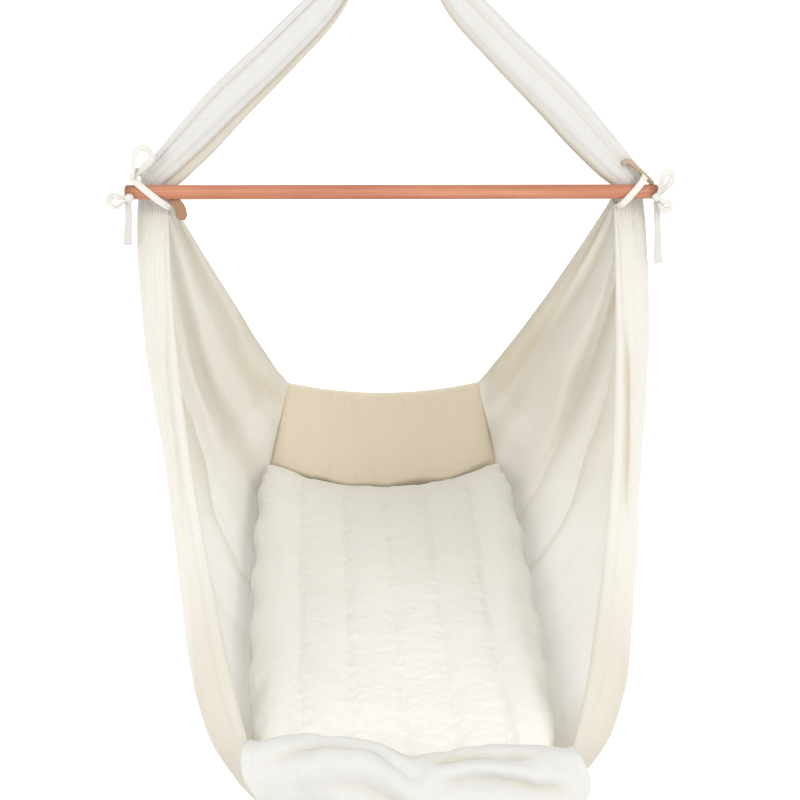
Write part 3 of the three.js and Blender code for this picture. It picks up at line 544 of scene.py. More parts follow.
def weave_group():
    """Plain weave over a UV map in metres: thread height, and an uneven thread tone."""
    tree, given, put = new_group("plain_weave", ["Vector", "Threads per metre"], ["Height", "Tone"])
    vector = given["Vector"]
    split = axes_of(tree, vector)
    waves = []
    for axis in ("X", "Y"):
        turned = math_node(tree, "MULTIPLY", split[axis], given["Threads per metre"])
        waves.append(math_node(tree, "SINE", math_node(tree, "MULTIPLY", turned, math.pi)))
    crossed = math_node(tree, "MULTIPLY", *waves)
    warp = noise_of(tree, vector, (900.0, 24.0, 1.0), 2.0)
    weft = noise_of(tree, vector, (24.0, 900.0, 1.0), 2.0)
    uneven = math_node(tree, "MULTIPLY", math_node(tree, "ADD", warp, weft), 0.4)
    height = math_node(tree, "ADD", math_node(tree, "MULTIPLY", crossed, 0.5), uneven)
    set_inputs(tree, put, {"Height": height, "Tone": mapped(tree, uneven, 0.2, 0.6, 0.0, 1.0)})
    return tree


def grain_group():
    """Long wood fibres along X: a tone, and a height with fine pores."""
    tree, given, put = new_group("wood_grain", ["Vector"], ["Tone", "Height"])
    vector = given["Vector"]
    broad = noise_of(tree, vector, (5.0, 120.0, 120.0), 4.0, 0.55)
    fibre = noise_of(tree, vector, (14.0, 900.0, 900.0), 5.0, 0.6)
    pores = noise_of(tree, vector, (60.0, 2200.0, 2200.0), 2.0, 0.5)
    shares = math_node(tree, "MULTIPLY", broad, 0.62), math_node(tree, "MULTIPLY", fibre, 0.38)
    dips = math_node(tree, "MULTIPLY", mapped(tree, pores, 0.58, 0.72, 0.0, 1.0), 0.6)
    height = math_node(tree, "SUBTRACT", fibre, dips)
    set_inputs(tree, put, {"Tone": math_node(tree, "ADD", *shares), "Height": height})
    return tree


def scuff_group():
    """Fine rubbed lines and cloudy wear for metal, over object coordinates."""
    tree, given, put = new_group("scuffs", ["Vector"], ["Cloud", "Lines"])
    cloud = noise_of(tree, given["Vector"], 160.0, 5.0, 0.6)
    lines = noise_of(tree, given["Vector"], (2600.0, 2600.0, 300.0), 3.0, 0.6)
    set_inputs(tree, put, {"Cloud": cloud, "Lines": lines})
    return tree


# Materials

WEAVE = weave_group()
GRAIN = grain_group()
SCUFFS = scuff_group()

CLOTH_THREADS = 1100.0
HEAD_CLOTH_THREADS = 900.0
TAPE_THREADS = 1500.0
SEWING_THREADS = 3000.0
WEAVE_H = 0.0004
GRAIN_H = 0.0002
SCUFF_H = 0.0001
STAIN_LIGHT = (0.535, 0.228, 0.124)
STAIN_DEEP = (0.37, 0.121, 0.055)
STAIN_END = (0.20, 0.062, 0.024)
END_STAIN_FROM = 0.014
END_STAIN_TO = 0.003
# Tan that the tone map blends into the cloth: painted shade in folds, hollows and hems, and a tan streak by
# a foot hem
TAN_SHADE_TINT = (0.66, 0.585, 0.44)


def cloth_material(
    name, light, deep, threads=CLOTH_THREADS, bump=0.35, rumple=0.0, glow=0.0, tint=None, mapped_cloth=True
):
    """Woven cotton: two close tones by thread, a soft sheen, a woven bump, light let through, and, where a
    tint is given, painted shade from the tone map.
    """
    material, tree, shader = new_material(name)
    place = mapped_place(tree, "cloth") if mapped_cloth else object_place(tree)
    weave = use_group(tree, WEAVE, {"Vector": place, "Threads per metre": threads})
    cloud = mapped(tree, noise_of(tree, place, 14.0, 3.0), 0.3, 0.7, 0.55, 1.0)
    colour = blended(tree, math_node(tree, "MULTIPLY", weave["Tone"], cloud), deep, light)
    # The tone map blends in the tint as painted shade
    if tint:
        colour = blended(tree, axes_of(tree, mapped_place(tree, "tone"))["X"], colour, tint)
    height = weave["Height"]
    if rumple:
        creases = noise_of(tree, place, (60.0, 22.0, 22.0), 4.0, 0.55)
        halves = math_node(tree, "MULTIPLY", height, 0.5), math_node(tree, "MULTIPLY", creases, rumple)
        height = math_node(tree, "ADD", *halves)
    bumped(tree, shader, height, bump, WEAVE_H)
    finish = {
        "Base Color": colour, "Roughness": 0.88, "Specular IOR Level": 0.25,
        "Sheen Weight": 0.15, "Sheen Roughness": 0.5,
    }
    set_inputs(tree, shader, finish)
    if glow:
        through = add_node(tree, "ShaderNodeBsdfTranslucent")
        set_inputs(tree, through, {"Color": colour})
        both = add_node(tree, "ShaderNodeMixShader")
        set_inputs(tree, both, {0: glow, 1: shader.outputs[0], 2: through.outputs[0]})
        tree.links.new(both.outputs[0], tree.nodes["Material Output"].inputs["Surface"])
    return material


def wood_material():
    """Red-brown stained rod under a clear varnish, darker towards its ends."""
    material, tree, shader = new_material("copper_stained_wood")
    place = object_place(tree)
    grain = use_group(tree, GRAIN, {"Vector": place})
    body = blended(tree, mapped(tree, grain["Tone"], 0.35, 0.65, 0.0, 1.0), STAIN_DEEP, STAIN_LIGHT)
    from_middle = math_node(tree, "ABSOLUTE", axes_of(tree, place)["X"])
    ends = BAR_HALF_L - END_STAIN_FROM, BAR_HALF_L - END_STAIN_TO
    colour = blended(tree, mapped(tree, from_middle, *ends, 0.0, 0.8), body, STAIN_END)
    rough = mapped(tree, grain["Tone"], 0.3, 0.7, 0.5, 0.36)
    finish = {"Base Color": colour, "Roughness": rough, "Coat Weight": 0.25, "Coat Roughness": 0.22}
    set_inputs(tree, shader, finish)
    bumped(tree, shader, grain["Height"], 0.25, GRAIN_H)
    return material


def metal_material(name, light, deep, low, high):
    material, tree, shader = new_material(name)
    scuffs = use_group(tree, SCUFFS, {"Vector": object_place(tree)})
    colour = blended(tree, mapped(tree, scuffs["Cloud"], 0.35, 0.65, 0.0, 1.0), deep, light)
    rough = mapped(tree, scuffs["Lines"], 0.3, 0.7, low, high)
    set_inputs(tree, shader, {"Base Color": colour, "Roughness": rough, "Metallic": 1.0})
    bumped(tree, shader, scuffs["Lines"], 0.08, SCUFF_H)
    return material


COTTON = cloth_material(
    "cradle_cotton", (0.93, 0.927, 0.908), (0.89, 0.883, 0.852), rumple=0.5, glow=0.50, tint=TAN_SHADE_TINT
)
# A darker copy of the cotton for the slings and the foot wall, which catch more light: painted shade
PAINTED_SHADE_COTTON = cloth_material(
    "painted_shade_cotton", (0.79, 0.782, 0.755), (0.75, 0.738, 0.705), rumple=0.5, glow=0.30, tint=TAN_SHADE_TINT
)
# Darker than the wall cotton because the pad lies in shade between the walls: painted shade
PAD_SHADE_COTTON = cloth_material(
    "pad_cotton", (0.83, 0.812, 0.770), (0.79, 0.771, 0.723), rumple=0.8, mapped_cloth=False
)
# A tan copy of the cotton for the head wall, darker because the head wall lies in shade: painted shade
HEAD_SHADE_COTTON = cloth_material(
    "head_shade_cotton", (0.80, 0.715, 0.57), (0.75, 0.663, 0.52), HEAD_CLOTH_THREADS, 0.15, rumple=0.6
)
TAPE = cloth_material("cotton_tape", (0.76, 0.74, 0.69), (0.65, 0.63, 0.575), TAPE_THREADS, 0.6)
# A darker copy of the tape for the hanging ends, which hang in shade: painted shade
PAINTED_SHADE_TAPE = cloth_material("painted_shade_tape", (0.66, 0.645, 0.60), (0.56, 0.545, 0.505), TAPE_THREADS, 0.6)
TAN = cloth_material("tan_tape", (0.40, 0.245, 0.15), (0.30, 0.175, 0.10), TAPE_THREADS, 0.7)
TAN_CORD = cloth_material("tan_cord", (0.58, 0.45, 0.33), (0.46, 0.34, 0.235), TAPE_THREADS, 0.7)
THREAD = cloth_material(
    "sewing_thread", (0.80, 0.77, 0.69), (0.70, 0.66, 0.57), SEWING_THREADS, 0.4, mapped_cloth=False
)
WOOD = wood_material()
ZINC = metal_material("zinc_plate", (0.44, 0.45, 0.46), (0.33, 0.335, 0.345), 0.30, 0.48)
STEEL = metal_material("bright_steel", (0.40, 0.41, 0.425), (0.29, 0.30, 0.315), 0.20, 0.34)
BRASS = metal_material("worn_brass", (0.56, 0.41, 0.18), (0.42, 0.295, 0.12), 0.26, 0.42)


# Camera


def make_camera():
    data = bpy.data.cameras.new("camera")
    data.lens = CAMERA_LENS_MM
    camera = new_object("camera", data)
    camera.location = CAMERA_AT
    turn = Matrix.Rotation(math.radians(-CAMERA_TURN_DEG), 3, "Z")
    tilt = Matrix.Rotation(math.radians(90.0 - CAMERA_DOWN_DEG), 3, "X")
    roll = Matrix.Rotation(math.radians(CAMERA_ROLL_DEG), 3, "Z")
    camera.rotation_euler = (turn @ tilt @ roll).to_euler()
    bpy.context.scene.camera = camera


make_camera()


# Loose ends of the tape: straight down from the knots

TAIL_WAVE = 0.0006
TAIL_WAVE_BACK = 0.0005
# Length, how far the top stands aside, and how far the end drifts
LEFT_TAIL = (0.048, -0.0022, -0.0015)
RIGHT_TAIL = (0.070, 0.0, 0.0065)


def make_tail(name, node, length, aside, drift):
    """A flat tape end that hangs straight, with a little lean and a swollen cut end, in a darker copy of the
    tape that is painted shade.
    """
    low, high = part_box(node)
    top = np.array([(low.x + high.x) / 2, (low.y + high.y) / 2, high.z])
    share = np.linspace(0.0, 1.0, 26)
    lean = aside + drift * share + TAIL_WAVE * np.sin(5.0 * share)
    path = top + np.stack([lean, TAIL_WAVE_BACK * np.sin(4.0 * share), -length * share], -1)
    widening = mix(0.78, 1.18, share) + 0.04 * np.sin(9.0 * share)
    section = np.stack([tape_section(2 * TAIL_R * w, TAIL_T) for w in widening])
    turn = 0.18 * np.sin(2.4 * share)
    sides = np.stack([np.cos(turn), np.sin(turn), np.zeros(len(share))], -1)
    obj = finished(swept(name, path, section, sides), PAINTED_SHADE_TAPE, "tape", node)


make_tail("tape_end_left", "tie_tail_left", *LEFT_TAIL)
make_tail("tape_end_right", "tie_tail_right", *RIGHT_TAIL)


# Seams: lines over the cloth that are stitched once all the cloth is there

SEAM_LINES = []


def seam_line(points, normals, thickness, both=True):
    """Keeps a line that is sewn through the cloth, on one face or on both."""
    for side in (1.0, -1.0) if both else (1.0,):
        SEAM_LINES.append(points + side * (thickness / 2 + THREAD_R * 0.4) * normals)


# The walls: cloth that fans out of the gather behind the bar


def sway(along):
    """The bed hangs a little to the right towards its foot."""
    return FOOT_SWAY * (1.0 - along)


def seam_points(across, hand=1.0):
    """The sewn edge of a wall on the left side, from the foot hem down, along the floor and up."""
    along = np.clip((across - END_SHARE) / (1.0 - 2 * END_SHARE), 0.0, 1.0)
    arch = 1.0 - (2.0 * along - 1.0) ** 2
    half_w = mix(FLOOR_FOOT_HALF_W, FLOOR_HEAD_HALF_W, along)
    x = hand * sway(along) - half_w - FLOOR_SPREAD * arch
    floor = np.stack([x, mix(FLOOR_FOOT_Y, FLOOR_HEAD_Y, along), FLOOR_Z - FLOOR_DIP * arch], -1)
    slump = by_hand(hand, 0.0, FOOT_SLUMP)
    foot_top = np.array([hand * FOOT_SWAY - FOOT_HALF_W - slump, FOOT_Y, FOOT_TOP_Z - slump])
    head_top = np.array([-HEAD_HALF_W, HEAD_Y, HEAD_TOP_Z])
    to_foot = np.clip(1.0 - across / END_SHARE, 0.0, 1.0)[..., None]
    to_head = np.clip((across - (1.0 - END_SHARE)) / END_SHARE, 0.0, 1.0)[..., None]
    return floor + (foot_top - floor) * to_foot + (head_top - floor) * to_head


def gather_turn(across, open_deg):
    return np.radians(mix(open_deg, 360.0 - open_deg, across))


def gather_points(across):
    turn = -gather_turn(across, GATHER_OPEN_DEG)
    x = -GATHER_X + (GATHER_HALF_W - GATHER_INSET_W) * np.cos(turn)
    y = GATHER_Y + (GATHER_HALF_D - GATHER_INSET_D) * np.sin(turn)
    return np.stack([x, y, np.full(np.shape(across), -BAR_R - 2 * TAPE_GAP)], -1)


def ridges(phase, sharp):
    """A wave whose crests are rounder or narrower than its troughs."""
    return 2.0 * (0.5 + 0.5 * np.sin(phase)) ** sharp - 1.0


# Folds: how high they stand, and how many lie across a wall
BROAD_FOLD_H, BROAD_FOLDS = 0.0170, 6.5
CLOSE_FOLD_H, CLOSE_FOLDS = 0.0150, 14.0
FINE_FOLD_H, FINE_FOLDS = 0.0010, 27.0
RUMPLE_H = 0.0030
FINE_RUMPLE_H = 0.0010


def fan_folds(across, down, seed):
    """How far the cloth stands off its smooth fan, with folds that start in the gather, and where painted
    shade lies along the folds.
    """
    drift = 0.022 * soft_noise(4.0 * across + 3.1, 1.7 * down, seed)
    drift += 0.008 * soft_noise(11.0 * across, 4.0 * down, seed + 1)
    at = across + drift
    reach = soft_noise(9.0 * across + 5.0, 0.7 * down, seed + 2)
    width = mix(0.06, 0.80, down)
    inner = mix(0.07, 1.0, eased(across, 0.38, 0.58))
    broad = BROAD_FOLD_H * width * inner * (1.0 - 0.75 * eased(down, 0.6, 1.0))
    close = CLOSE_FOLD_H * width * inner * (1.0 - eased(down, 0.5, 1.0))
    fine = FINE_FOLD_H * mix(0.5, 1.0, inner) * mix(1.0, 0.5, eased(down, 0.04, 0.18))
    fine = fine * (1.0 - eased(down, 0.85, 0.98))
    broad_wave = ridges(2 * math.pi * BROAD_FOLDS * at + seed, 1.5) * (0.65 + 0.55 * reach)
    close_wave = ridges(2 * math.pi * CLOSE_FOLDS * at + 1.3 * seed, 1.3) * (0.6 + 0.6 * reach)
    folds = broad * broad_wave + close * close_wave
    folds += fine * ridges(2 * math.pi * FINE_FOLDS * at + 2.1 * seed, 1.2)
    rest = RUMPLE_H * soft_noise(14.0 * across, 9.0 * down, seed + 3) * eased(down, 0.15, 0.5)
    rest += FINE_RUMPLE_H * soft_noise(42.0 * across, 22.0 * down, seed + 4) * eased(down, 0.1, 0.4)
    # Where painted shade goes along the folds
    creases = np.clip(0.35 * broad_wave + 0.75 * close_wave, 0.0, 1.0) ** 1.8
    return folds + rest, creases * inner * eased(down, 0.03, 0.2)


def wall_belly(across, down, hand):
    """How far the cloth hangs out past its seams, most of all low down by the foot."""
    fullness = np.sin(math.pi * np.clip(across, 0.0, 1.0)) ** 0.45
    height = np.sin(math.pi * np.clip(down, 0.0, 1.0) ** 1.25) ** 0.7
    by_foot = np.sin(math.pi * np.clip(across, 0.0, 1.0) ** 0.45) ** 2
    low = by_hand(hand, LOW_BELLY, LOW_BELLY_RIGHT)
    swing = by_hand(hand, SWING_LEFT, SWING_RIGHT) * fullness * np.sin(math.pi * down**2)
    return BELLY * fullness * height + low * by_foot * np.sin(math.pi * down**5.5) + swing


HEAD_ROLL_H = 0.006
SWELL_H = 0.006
TUCK_H = 0.005


def wall_surface(across, down, seed, hand):
    """A wall on the left side, folds and all, as a grid of points, and its tone of painted shade."""
    gather, seam = gather_points(across), seam_points(across, hand)
    inwards = down ** mix(by_hand(hand, FOOT_HEM_LEFT, FOOT_HEM_RIGHT), 0.9, across)
    shares = np.stack([inwards, down**1.25, down], -1)
    base = mix(gather, seam, shares)
    base[..., 0] -= wall_belly(across, down, hand)
    hold = np.minimum(eased(across, -0.02, 0.05), eased(-across, -1.02, -0.95))
    folds, creases = fan_folds(across, down, seed)
    height = folds * mix(0.35, 1.0, hold) * (1.0 - eased(down, 0.9, 1.0))
    roll = HEAD_ROLL_H * eased(across, 0.94, 1.0) * np.sin(math.pi * np.sqrt(down))
    tuck = furrow(across, down, [(1.0, 0.93), (0.965, 0.86), (0.935, 0.80)], 0.014)
    swell = furrow(across, down, [(0.99, 1.0), (0.955, 0.92), (0.92, 0.84)], 0.018)
    height = height + roll + SWELL_H * swell - TUCK_H * tuck
    return base + grid_normals(base) * height[..., None], wall_tone(across, down, hand, creases)


def wall_tone(across, down, hand, creases):
    """Where the cloth is tinted tan: painted shade along the folds, in a band by the head hem, low by the
    foot hem and in a patch on the right wall; the low middle is left lighter, as painted light; and a tan
    streak by the foot hem and a cloudy random tone.
    """
    # Painted shade in a band along the head hem, where the doubled cloth lets less light through
    lined = by_hand(hand, 0.955, 0.974)
    head_hem_shade = eased(across, lined - 0.006, lined + 0.004) * between(down, 0.0, 0.05, 0.93, 1.0)
    # Painted shade low near the foot hem
    low = eased(down, 0.62, 0.85) * (1.0 - eased(across, 0.10, 0.30))
    streak = spot(across, 0.045, 0.016) * between(down, 0.24, 0.34, 0.50, 0.62)
    # Painted shadow in a patch on the right wall
    shade_patch = spot(across, 0.87, 0.05) * between(down, 0.30, 0.50, 0.62, 0.80)
    # Painted light: the low middle of the wall goes without the even tan the rest gets, so it reads lighter
    # where it lies in shade
    lit_low_middle = eased(down, 0.55, 0.92) * between(across, 0.10, 0.16, 0.70, 0.92)
    cloudy = 0.10 * np.clip(soft_noise(9.0 * across, 3.0 * down, 77), 0.0, 1.0)
    tone = 0.15 * (1.0 - lit_low_middle) + 0.20 * low + 0.34 * creases + cloudy
    tone += by_hand(hand, 0.15, 0.32) * head_hem_shade + by_hand(hand, 0.20, 0.60) * streak
    return np.clip(tone + by_hand(hand, 0.0, 0.10) * shade_patch, 0.0, 1.0)


HEM_COLUMN = 4
SEAM_ROW = -3


def make_wall(name, node, hand, seed, columns=230, rows=150):
    across, down = np.meshgrid(
        np.linspace(0.0, 1.0, columns), np.linspace(0.0, 1.0, rows) ** 1.35, indexing="xy"
    )
    points, tone = wall_surface(across, down, seed, hand)
    points = mirrored(points, hand)
    seam = lengths_along(seam_points(np.linspace(0.0, 1.0, columns))[None], 1)
    depth = lengths_along(points, 0).mean(1, keepdims=True)
    uv = np.stack(np.broadcast_arrays(seam, depth), -1)
    obj = grid_object(name, points, uv, tone=tone)
    normals = grid_normals(points)
    sewn = slice(int(rows * 0.12), int(rows * 0.97))
    for column in (HEM_COLUMN, columns - 1 - HEM_COLUMN):
        seam_line(points[sewn, column], normals[sewn, column], HEM_T)
    seam_line(points[SEAM_ROW, 8:-8], normals[SEAM_ROW, 8:-8], mix(CLOTH_T, HEM_T, 0.7))
    from_hem = np.minimum(across, 1.0 - across)
    hem = 1.0 - eased(from_hem, HEM_W_SHARE * 0.86, HEM_W_SHARE)
    hem = np.maximum(hem * eased(down, 0.03, 0.12), 0.7 * eased(down, 0.965, 0.975))
    thickened(obj, HEM_T, hem, CLOTH_T / HEM_T)
    finished(place_from_bar(obj), COTTON, "cotton", node)


make_wall("wall_left", "side_wall_left", 1.0, 7)
make_wall("wall_right", "side_wall_right", -1.0, 19)


# The slings: the same cloth, drawn together and carried up to the ring

SLING_ALONG_SHARES = [-0.057, -0.014, 0.024, 0.087, 0.2, 0.34, 0.54, 0.72]
SLING_OUT_SHARES = [-0.053, -0.015, 0.008, 0.01, 0.013, 0.017, 0.009, 0.006]
SLING_WIDTH_SHARES = [1.0, 1.0, 1.04, 1.12, 1.2, 1.2, 1.08, 0.95]
SLING_DEPTH_SHARES = [0.8, 0.85, 0.95, 1, 1.05, 1.05, 1, 0.85]
SLING_MAP_W = 0.29
SLING_FOLD_H = 0.0026
SLING_CLOSE_FOLD_H = 0.0007
SLING_FINE_FOLD_H = 0.0004
SLING_INSET = 0.001
SLING_HEM_T = 0.0024
RING_GAP = 0.0003
WHIP_CORD_R = 0.001
WHIP_TURNS = 6


def sling_stations(ring_y):
    """Middle, half width and half depth of the sling at each station up to and over the ring."""
    start = np.array([-GATHER_X, GATHER_Y, 0.0])
    ring = np.array([0.0, ring_y, SLING_RISE])
    way = ring - start
    way[1] = 0.0
    length = float(np.linalg.norm(way))
    way /= length
    out = np.array([-way[2], 0.0, way[0]])
    rows = []
    shares = zip(SLING_ALONG_SHARES, SLING_OUT_SHARES, SLING_WIDTH_SHARES, SLING_DEPTH_SHARES)
    for along, aside, wide, deep in shares:
        at = start + way * along * length + out * aside * length
        at[1] = mix(start[1], ring[1], max(along, 0.0))
        rows.append([*at, SLING_HALF_W * wide, GATHER_HALF_D * deep])
    main_aside = LOOP_HALF_T + TAPE_GAP
    tail_aside = main_aside - (2 * LOOP_HALF_T + 2 * TAPE_GAP)
    turn_r = RING_ROD_R + RING_GAP + LOOP_HALF_T
    whip_ends = WHIP_FROM_RING + WHIP_W / 2, WHIP_FROM_RING - WHIP_W / 2
    places = [(back, main_aside, LOOP_HALF_T) for back in whip_ends]
    places += [(-along, aside, LOOP_HALF_T) for along, aside in arc((0.0, 0.0), turn_r, 90.0, -90.0, 8)]
    places += [(back, tail_aside, LOOP_HALF_T - TAPE_GAP) for back in (whip_ends[1], LOOP_TAIL_L)]
    rows += [[*(ring - way * back + out * aside), half, LOOP_HALF_W] for back, aside, half in places]
    return np.array(rows), way, out, ring, main_aside, tail_aside


def make_sling(name, node, hand, ring_y, seed, columns=150, rows=190):
    run = smooth_through(sling_stations(ring_y)[0], rows)
    share = np.linspace(0.0, 1.0, rows)[:, None]
    across = np.linspace(0.0, 1.0, columns)[None, :]
    turn = gather_turn(across, mix(GATHER_OPEN_DEG, 7.0, eased(share, 0.05, 0.3)))
    at = across + 0.03 * soft_noise(4.0 * across, 5.0 * share + 2.0 * across, seed)
    along_run = eased(share, 0.02, 0.14) * (1.0 - 0.7 * eased(share, 0.36, 0.44))
    close = 1.0 - between(share, 0.04, 0.16, 0.40, 0.46)
    folds = SLING_FOLD_H * along_run * ridges(2 * math.pi * 3.2 * at + seed, 0.5)
    close_phase = 2 * math.pi * 9.0 * at + 2.0 * seed + 3.0 * share
    folds += SLING_CLOSE_FOLD_H * along_run * ridges(close_phase, 0.7)
    folds += SLING_FINE_FOLD_H * close * ridges(2 * math.pi * 27.0 * across + 2.1 * seed, 1.2)
    u = -(run[:, 4:5] + folds - SLING_INSET) * np.sin(turn)
    v = -(run[:, 3:4] + folds - SLING_INSET) * np.cos(turn)
    points = mirrored(swept_points(run[:, :3], np.stack([u, v], -1), Y_AXIS), hand)
    along = lengths_along(run[:, None, :3], 0)
    uv = np.stack(np.broadcast_arrays(across * SLING_MAP_W, along), -1)
    from_hem = np.minimum(across, 1.0 - across)
    # Painted shade: tan in the troughs of the folds and along both hems
    tone = 0.16 * np.clip(-folds / SLING_FOLD_H, 0.0, 1.0) + 0.50 * (1.0 - eased(from_hem, 0.08, 0.15))
    obj = grid_object(name, points, uv, tone=tone * eased(share, 0.04, 0.12))
    hem = np.broadcast_to(1.0 - eased(from_hem, 0.03, 0.04), (rows, columns))
    thickened(obj, SLING_HEM_T, hem, 0.55)
    finished(place_from_bar(obj), PAINTED_SHADE_COTTON, "cotton", node)


make_sling("sling_cloth_left", "sling_left", 1.0, -SLING_SPREAD, 3)
make_sling("sling_cloth_right", "sling_right", -1.0, SLING_SPREAD, 11)


def boxy(wave, power=0.6):
    return np.sign(wave) * np.abs(wave) ** power


def make_whipping(name, node, hand, ring_y):
    """Cord wound tightly round both runs of a sling below the ring."""
    _, way, out, ring, main_aside, tail_aside = sling_stations(ring_y)
    lift = TAPE_GAP + WHIP_CORD_R / 2
    reach = (main_aside - tail_aside) / 2 + LOOP_HALF_T + lift
    steps = WHIP_TURNS * 40
    turn = np.linspace(0.0, 2 * math.pi * WHIP_TURNS, steps)[:, None]
    along = WHIP_W * (np.linspace(0.0, 1.0, steps)[:, None] - 0.5) * 0.9
    path = ring + way * (along - WHIP_FROM_RING) + Y_AXIS * (LOOP_HALF_W + lift) * boxy(np.sin(turn))
    path = path + out * ((main_aside + tail_aside) / 2 + reach * boxy(np.cos(turn)))
    obj = swept(name, mirrored(path, hand), round_section(WHIP_CORD_R, 10), mirrored(way, hand))
    finished(place_from_bar(obj), TAPE, "tape", node)


make_whipping("whipping_cord_left", "whipping_left", 1.0, -SLING_SPREAD)
make_whipping("whipping_cord_right", "whipping_right", -1.0, SLING_SPREAD)


# Floor, head wall and foot wall

FLOOR_RUMPLE_H = 0.0012
HEAD_LIP_SHARE = 0.20
HEAD_PUFF = 0.017
HEAD_SEAM_GAP = 0.0015
HEAD_TOP_SAG = 0.015
HEAD_BOW = 0.014
HEAD_HALF_T = 0.0016
HEAD_FRONT_FILL = 0.0035
HEAD_BACK_FILL = 0.003
DIMPLE_H = 0.0022
FINE_DIMPLE_H = 0.0008
PULL_H = 0.0016
HEAD_GATHER_H = 0.0010


def floor_middle(across, share):
    edge = seam_points(END_SHARE + (1.0 - 2 * END_SHARE) * share)
    x = (sway(share) - edge[..., 0]) * across + sway(share)
    return np.stack([x, edge[..., 1], edge[..., 2] - FLOOR_SAG * (1.0 - across**2)], -1)


def make_base():
    columns, rows = 90, 200
    across, share = np.meshgrid(np.linspace(-0.99, 0.99, columns), np.linspace(0.002, 0.998, rows))
    points = floor_middle(across, share)
    points[..., 2] += FLOOR_RUMPLE_H * soft_noise(5.0 * across, 14.0 * share, 31) * (1.0 - across**2)
    obj = grid_object("floor_cloth", points)
    rim = np.minimum(1.0 - np.abs(across), np.minimum(share, 1.0 - share) * 5.0)
    thickened(obj, HEM_T, 1.0 - eased(rim, 0.05, 0.06), CLOTH_T / HEM_T)
    finished(place_from_bar(obj), COTTON, "shaded_cotton", "base_panel")


make_base()


def head_relief(across, rise):
    """How far the head wall is dimpled, and how far its front swells and puckers."""
    lip = HEAD_LIP_SHARE + 0.12 * across**2 + 0.030 * soft_noise(3.4 * across + 2.0, 0.0, 43)
    swollen = eased(rise, lip - 0.06, lip + 0.08) * (1.0 - 0.75 * eased(rise, lip + 0.12, 0.97))
    dimples = DIMPLE_H * soft_noise(6.0 * across, 1.2 * rise, 41)
    dimples += FINE_DIMPLE_H * soft_noise(22.0 * across, 3.0 * rise, 42)
    pulls = PULL_H * soft_noise(8.0 * across + 3.0 * rise, 2.0 * rise, 44) * spot(rise, lip, 0.16)
    gathers = HEAD_GATHER_H * ridges(2 * math.pi * 21.0 * across, 1.2) * spot(rise, 1.0, 0.10)
    return dimples, HEAD_FRONT_FILL + HEAD_PUFF * swollen + dimples + pulls + gathers


def make_head_wall():
    """A lined, filled end wall in a tan copy of the cotton that is painted shade: its swollen lower half
    hangs over the pad and its top edge sags.
    """
    columns, rows = 180, 110
    across, rise = np.meshgrid(np.linspace(-1.0, 1.0, columns), np.linspace(0.0, 1.0, rows))
    edge = seam_points((1.0 - END_SHARE) + END_SHARE * rise)
    middle = 1.0 - across**2
    half_w = -edge[..., 0] - HEAD_SEAM_GAP
    sag = mix(FLOOR_SAG, HEAD_TOP_SAG, rise) * middle
    bow = HEAD_BOW * middle * np.sin(math.pi * rise)
    centre = np.stack([half_w * across, edge[..., 1] + bow, edge[..., 2] - sag], -1)
    rim = np.sin(math.pi * rise) ** 0.45 * (1.0 - across**8) ** 0.5
    dimples, swelling = head_relief(across, rise)
    front, back = centre.copy(), centre.copy()
    front[..., 1] -= HEAD_HALF_T + swelling * rim
    back[..., 1] += HEAD_HALF_T + (HEAD_BACK_FILL + dimples) * rim
    seam_line(front[-4, 6:-6], grid_normals(front)[-4, 6:-6], 0.0, False)
    loop = np.concatenate([front, back[::-1]], 0)
    obj = outward(grid_object("head_wall", loop, None, True, False))
    close_sides(obj, *loop.shape[:2])
    finished(place_from_bar(obj), HEAD_SHADE_COTTON, "shaded_cotton", "head_panel")


def close_sides(obj, rows, columns):
    """Closes the two open ends of a grid whose rows run round in a loop."""
    with editing(obj) as working:
        working.verts.ensure_lookup_table()
        for column in (0, columns - 1):
            ring = [working.verts[row * columns + column] for row in range(rows)]
            for row in range(rows // 2 - 1):
                working.faces.new([ring[i] for i in (row, row + 1, rows - 2 - row, rows - 1 - row)])
    outward(obj)


make_head_wall()

FLAP_OUT_SHARES = [0.14, 0.4, 0.62, 0.68, 0.62, 0.60, 0.50]
FLAP_DROP_SHARES = [-0.05, -0.03, 0.14, 0.32, 0.44, 0.68, 1]
FLAP_WIDTH_SHARES = [1.0, 1.035, 1.055, 1.0, 0.935, 0.87, 0.80]
FLAP_FOLD_SHARES = [0.1, 0.2, 0.4, 0.6, 0.8, 1, 1]
SEAM_BOW_SHARES = [0, 0.3, 0.4, 0.34]
FLAP_SWAY = 0.0085
FOOT_ROLL_D = 0.058
FOOT_FLAP_DROP = 0.112
FOOT_FOLD_D = 0.007
FOOT_HUMP_H = 0.018
FOOT_DIP = 0.004
FOOT_RUMPLE_H = 0.0018
FOOT_FINE_RUMPLE_H = 0.0006
FOOT_SHADE_D = 0.007
FOOT_HELD_W = 0.04
FOOT_HEM_W = 0.012
FOOT_HEM_EDGE = 0.0015
FOOT_SEAM_FROM_HEM = 0.009
HEAPS_FROM, HEAPS_FULL = -0.02, 0.01


def between_walls(row_across, s):
    """Points straight across the bed, from the left wall's seam to the right wall's."""
    left = seam_points(np.array(row_across), 1.0)
    right = seam_points(np.array(row_across), -1.0) * [-1.0, 1.0, 1.0]
    return mix(left, right, ((s + 1.0) / 2.0)[:, None])


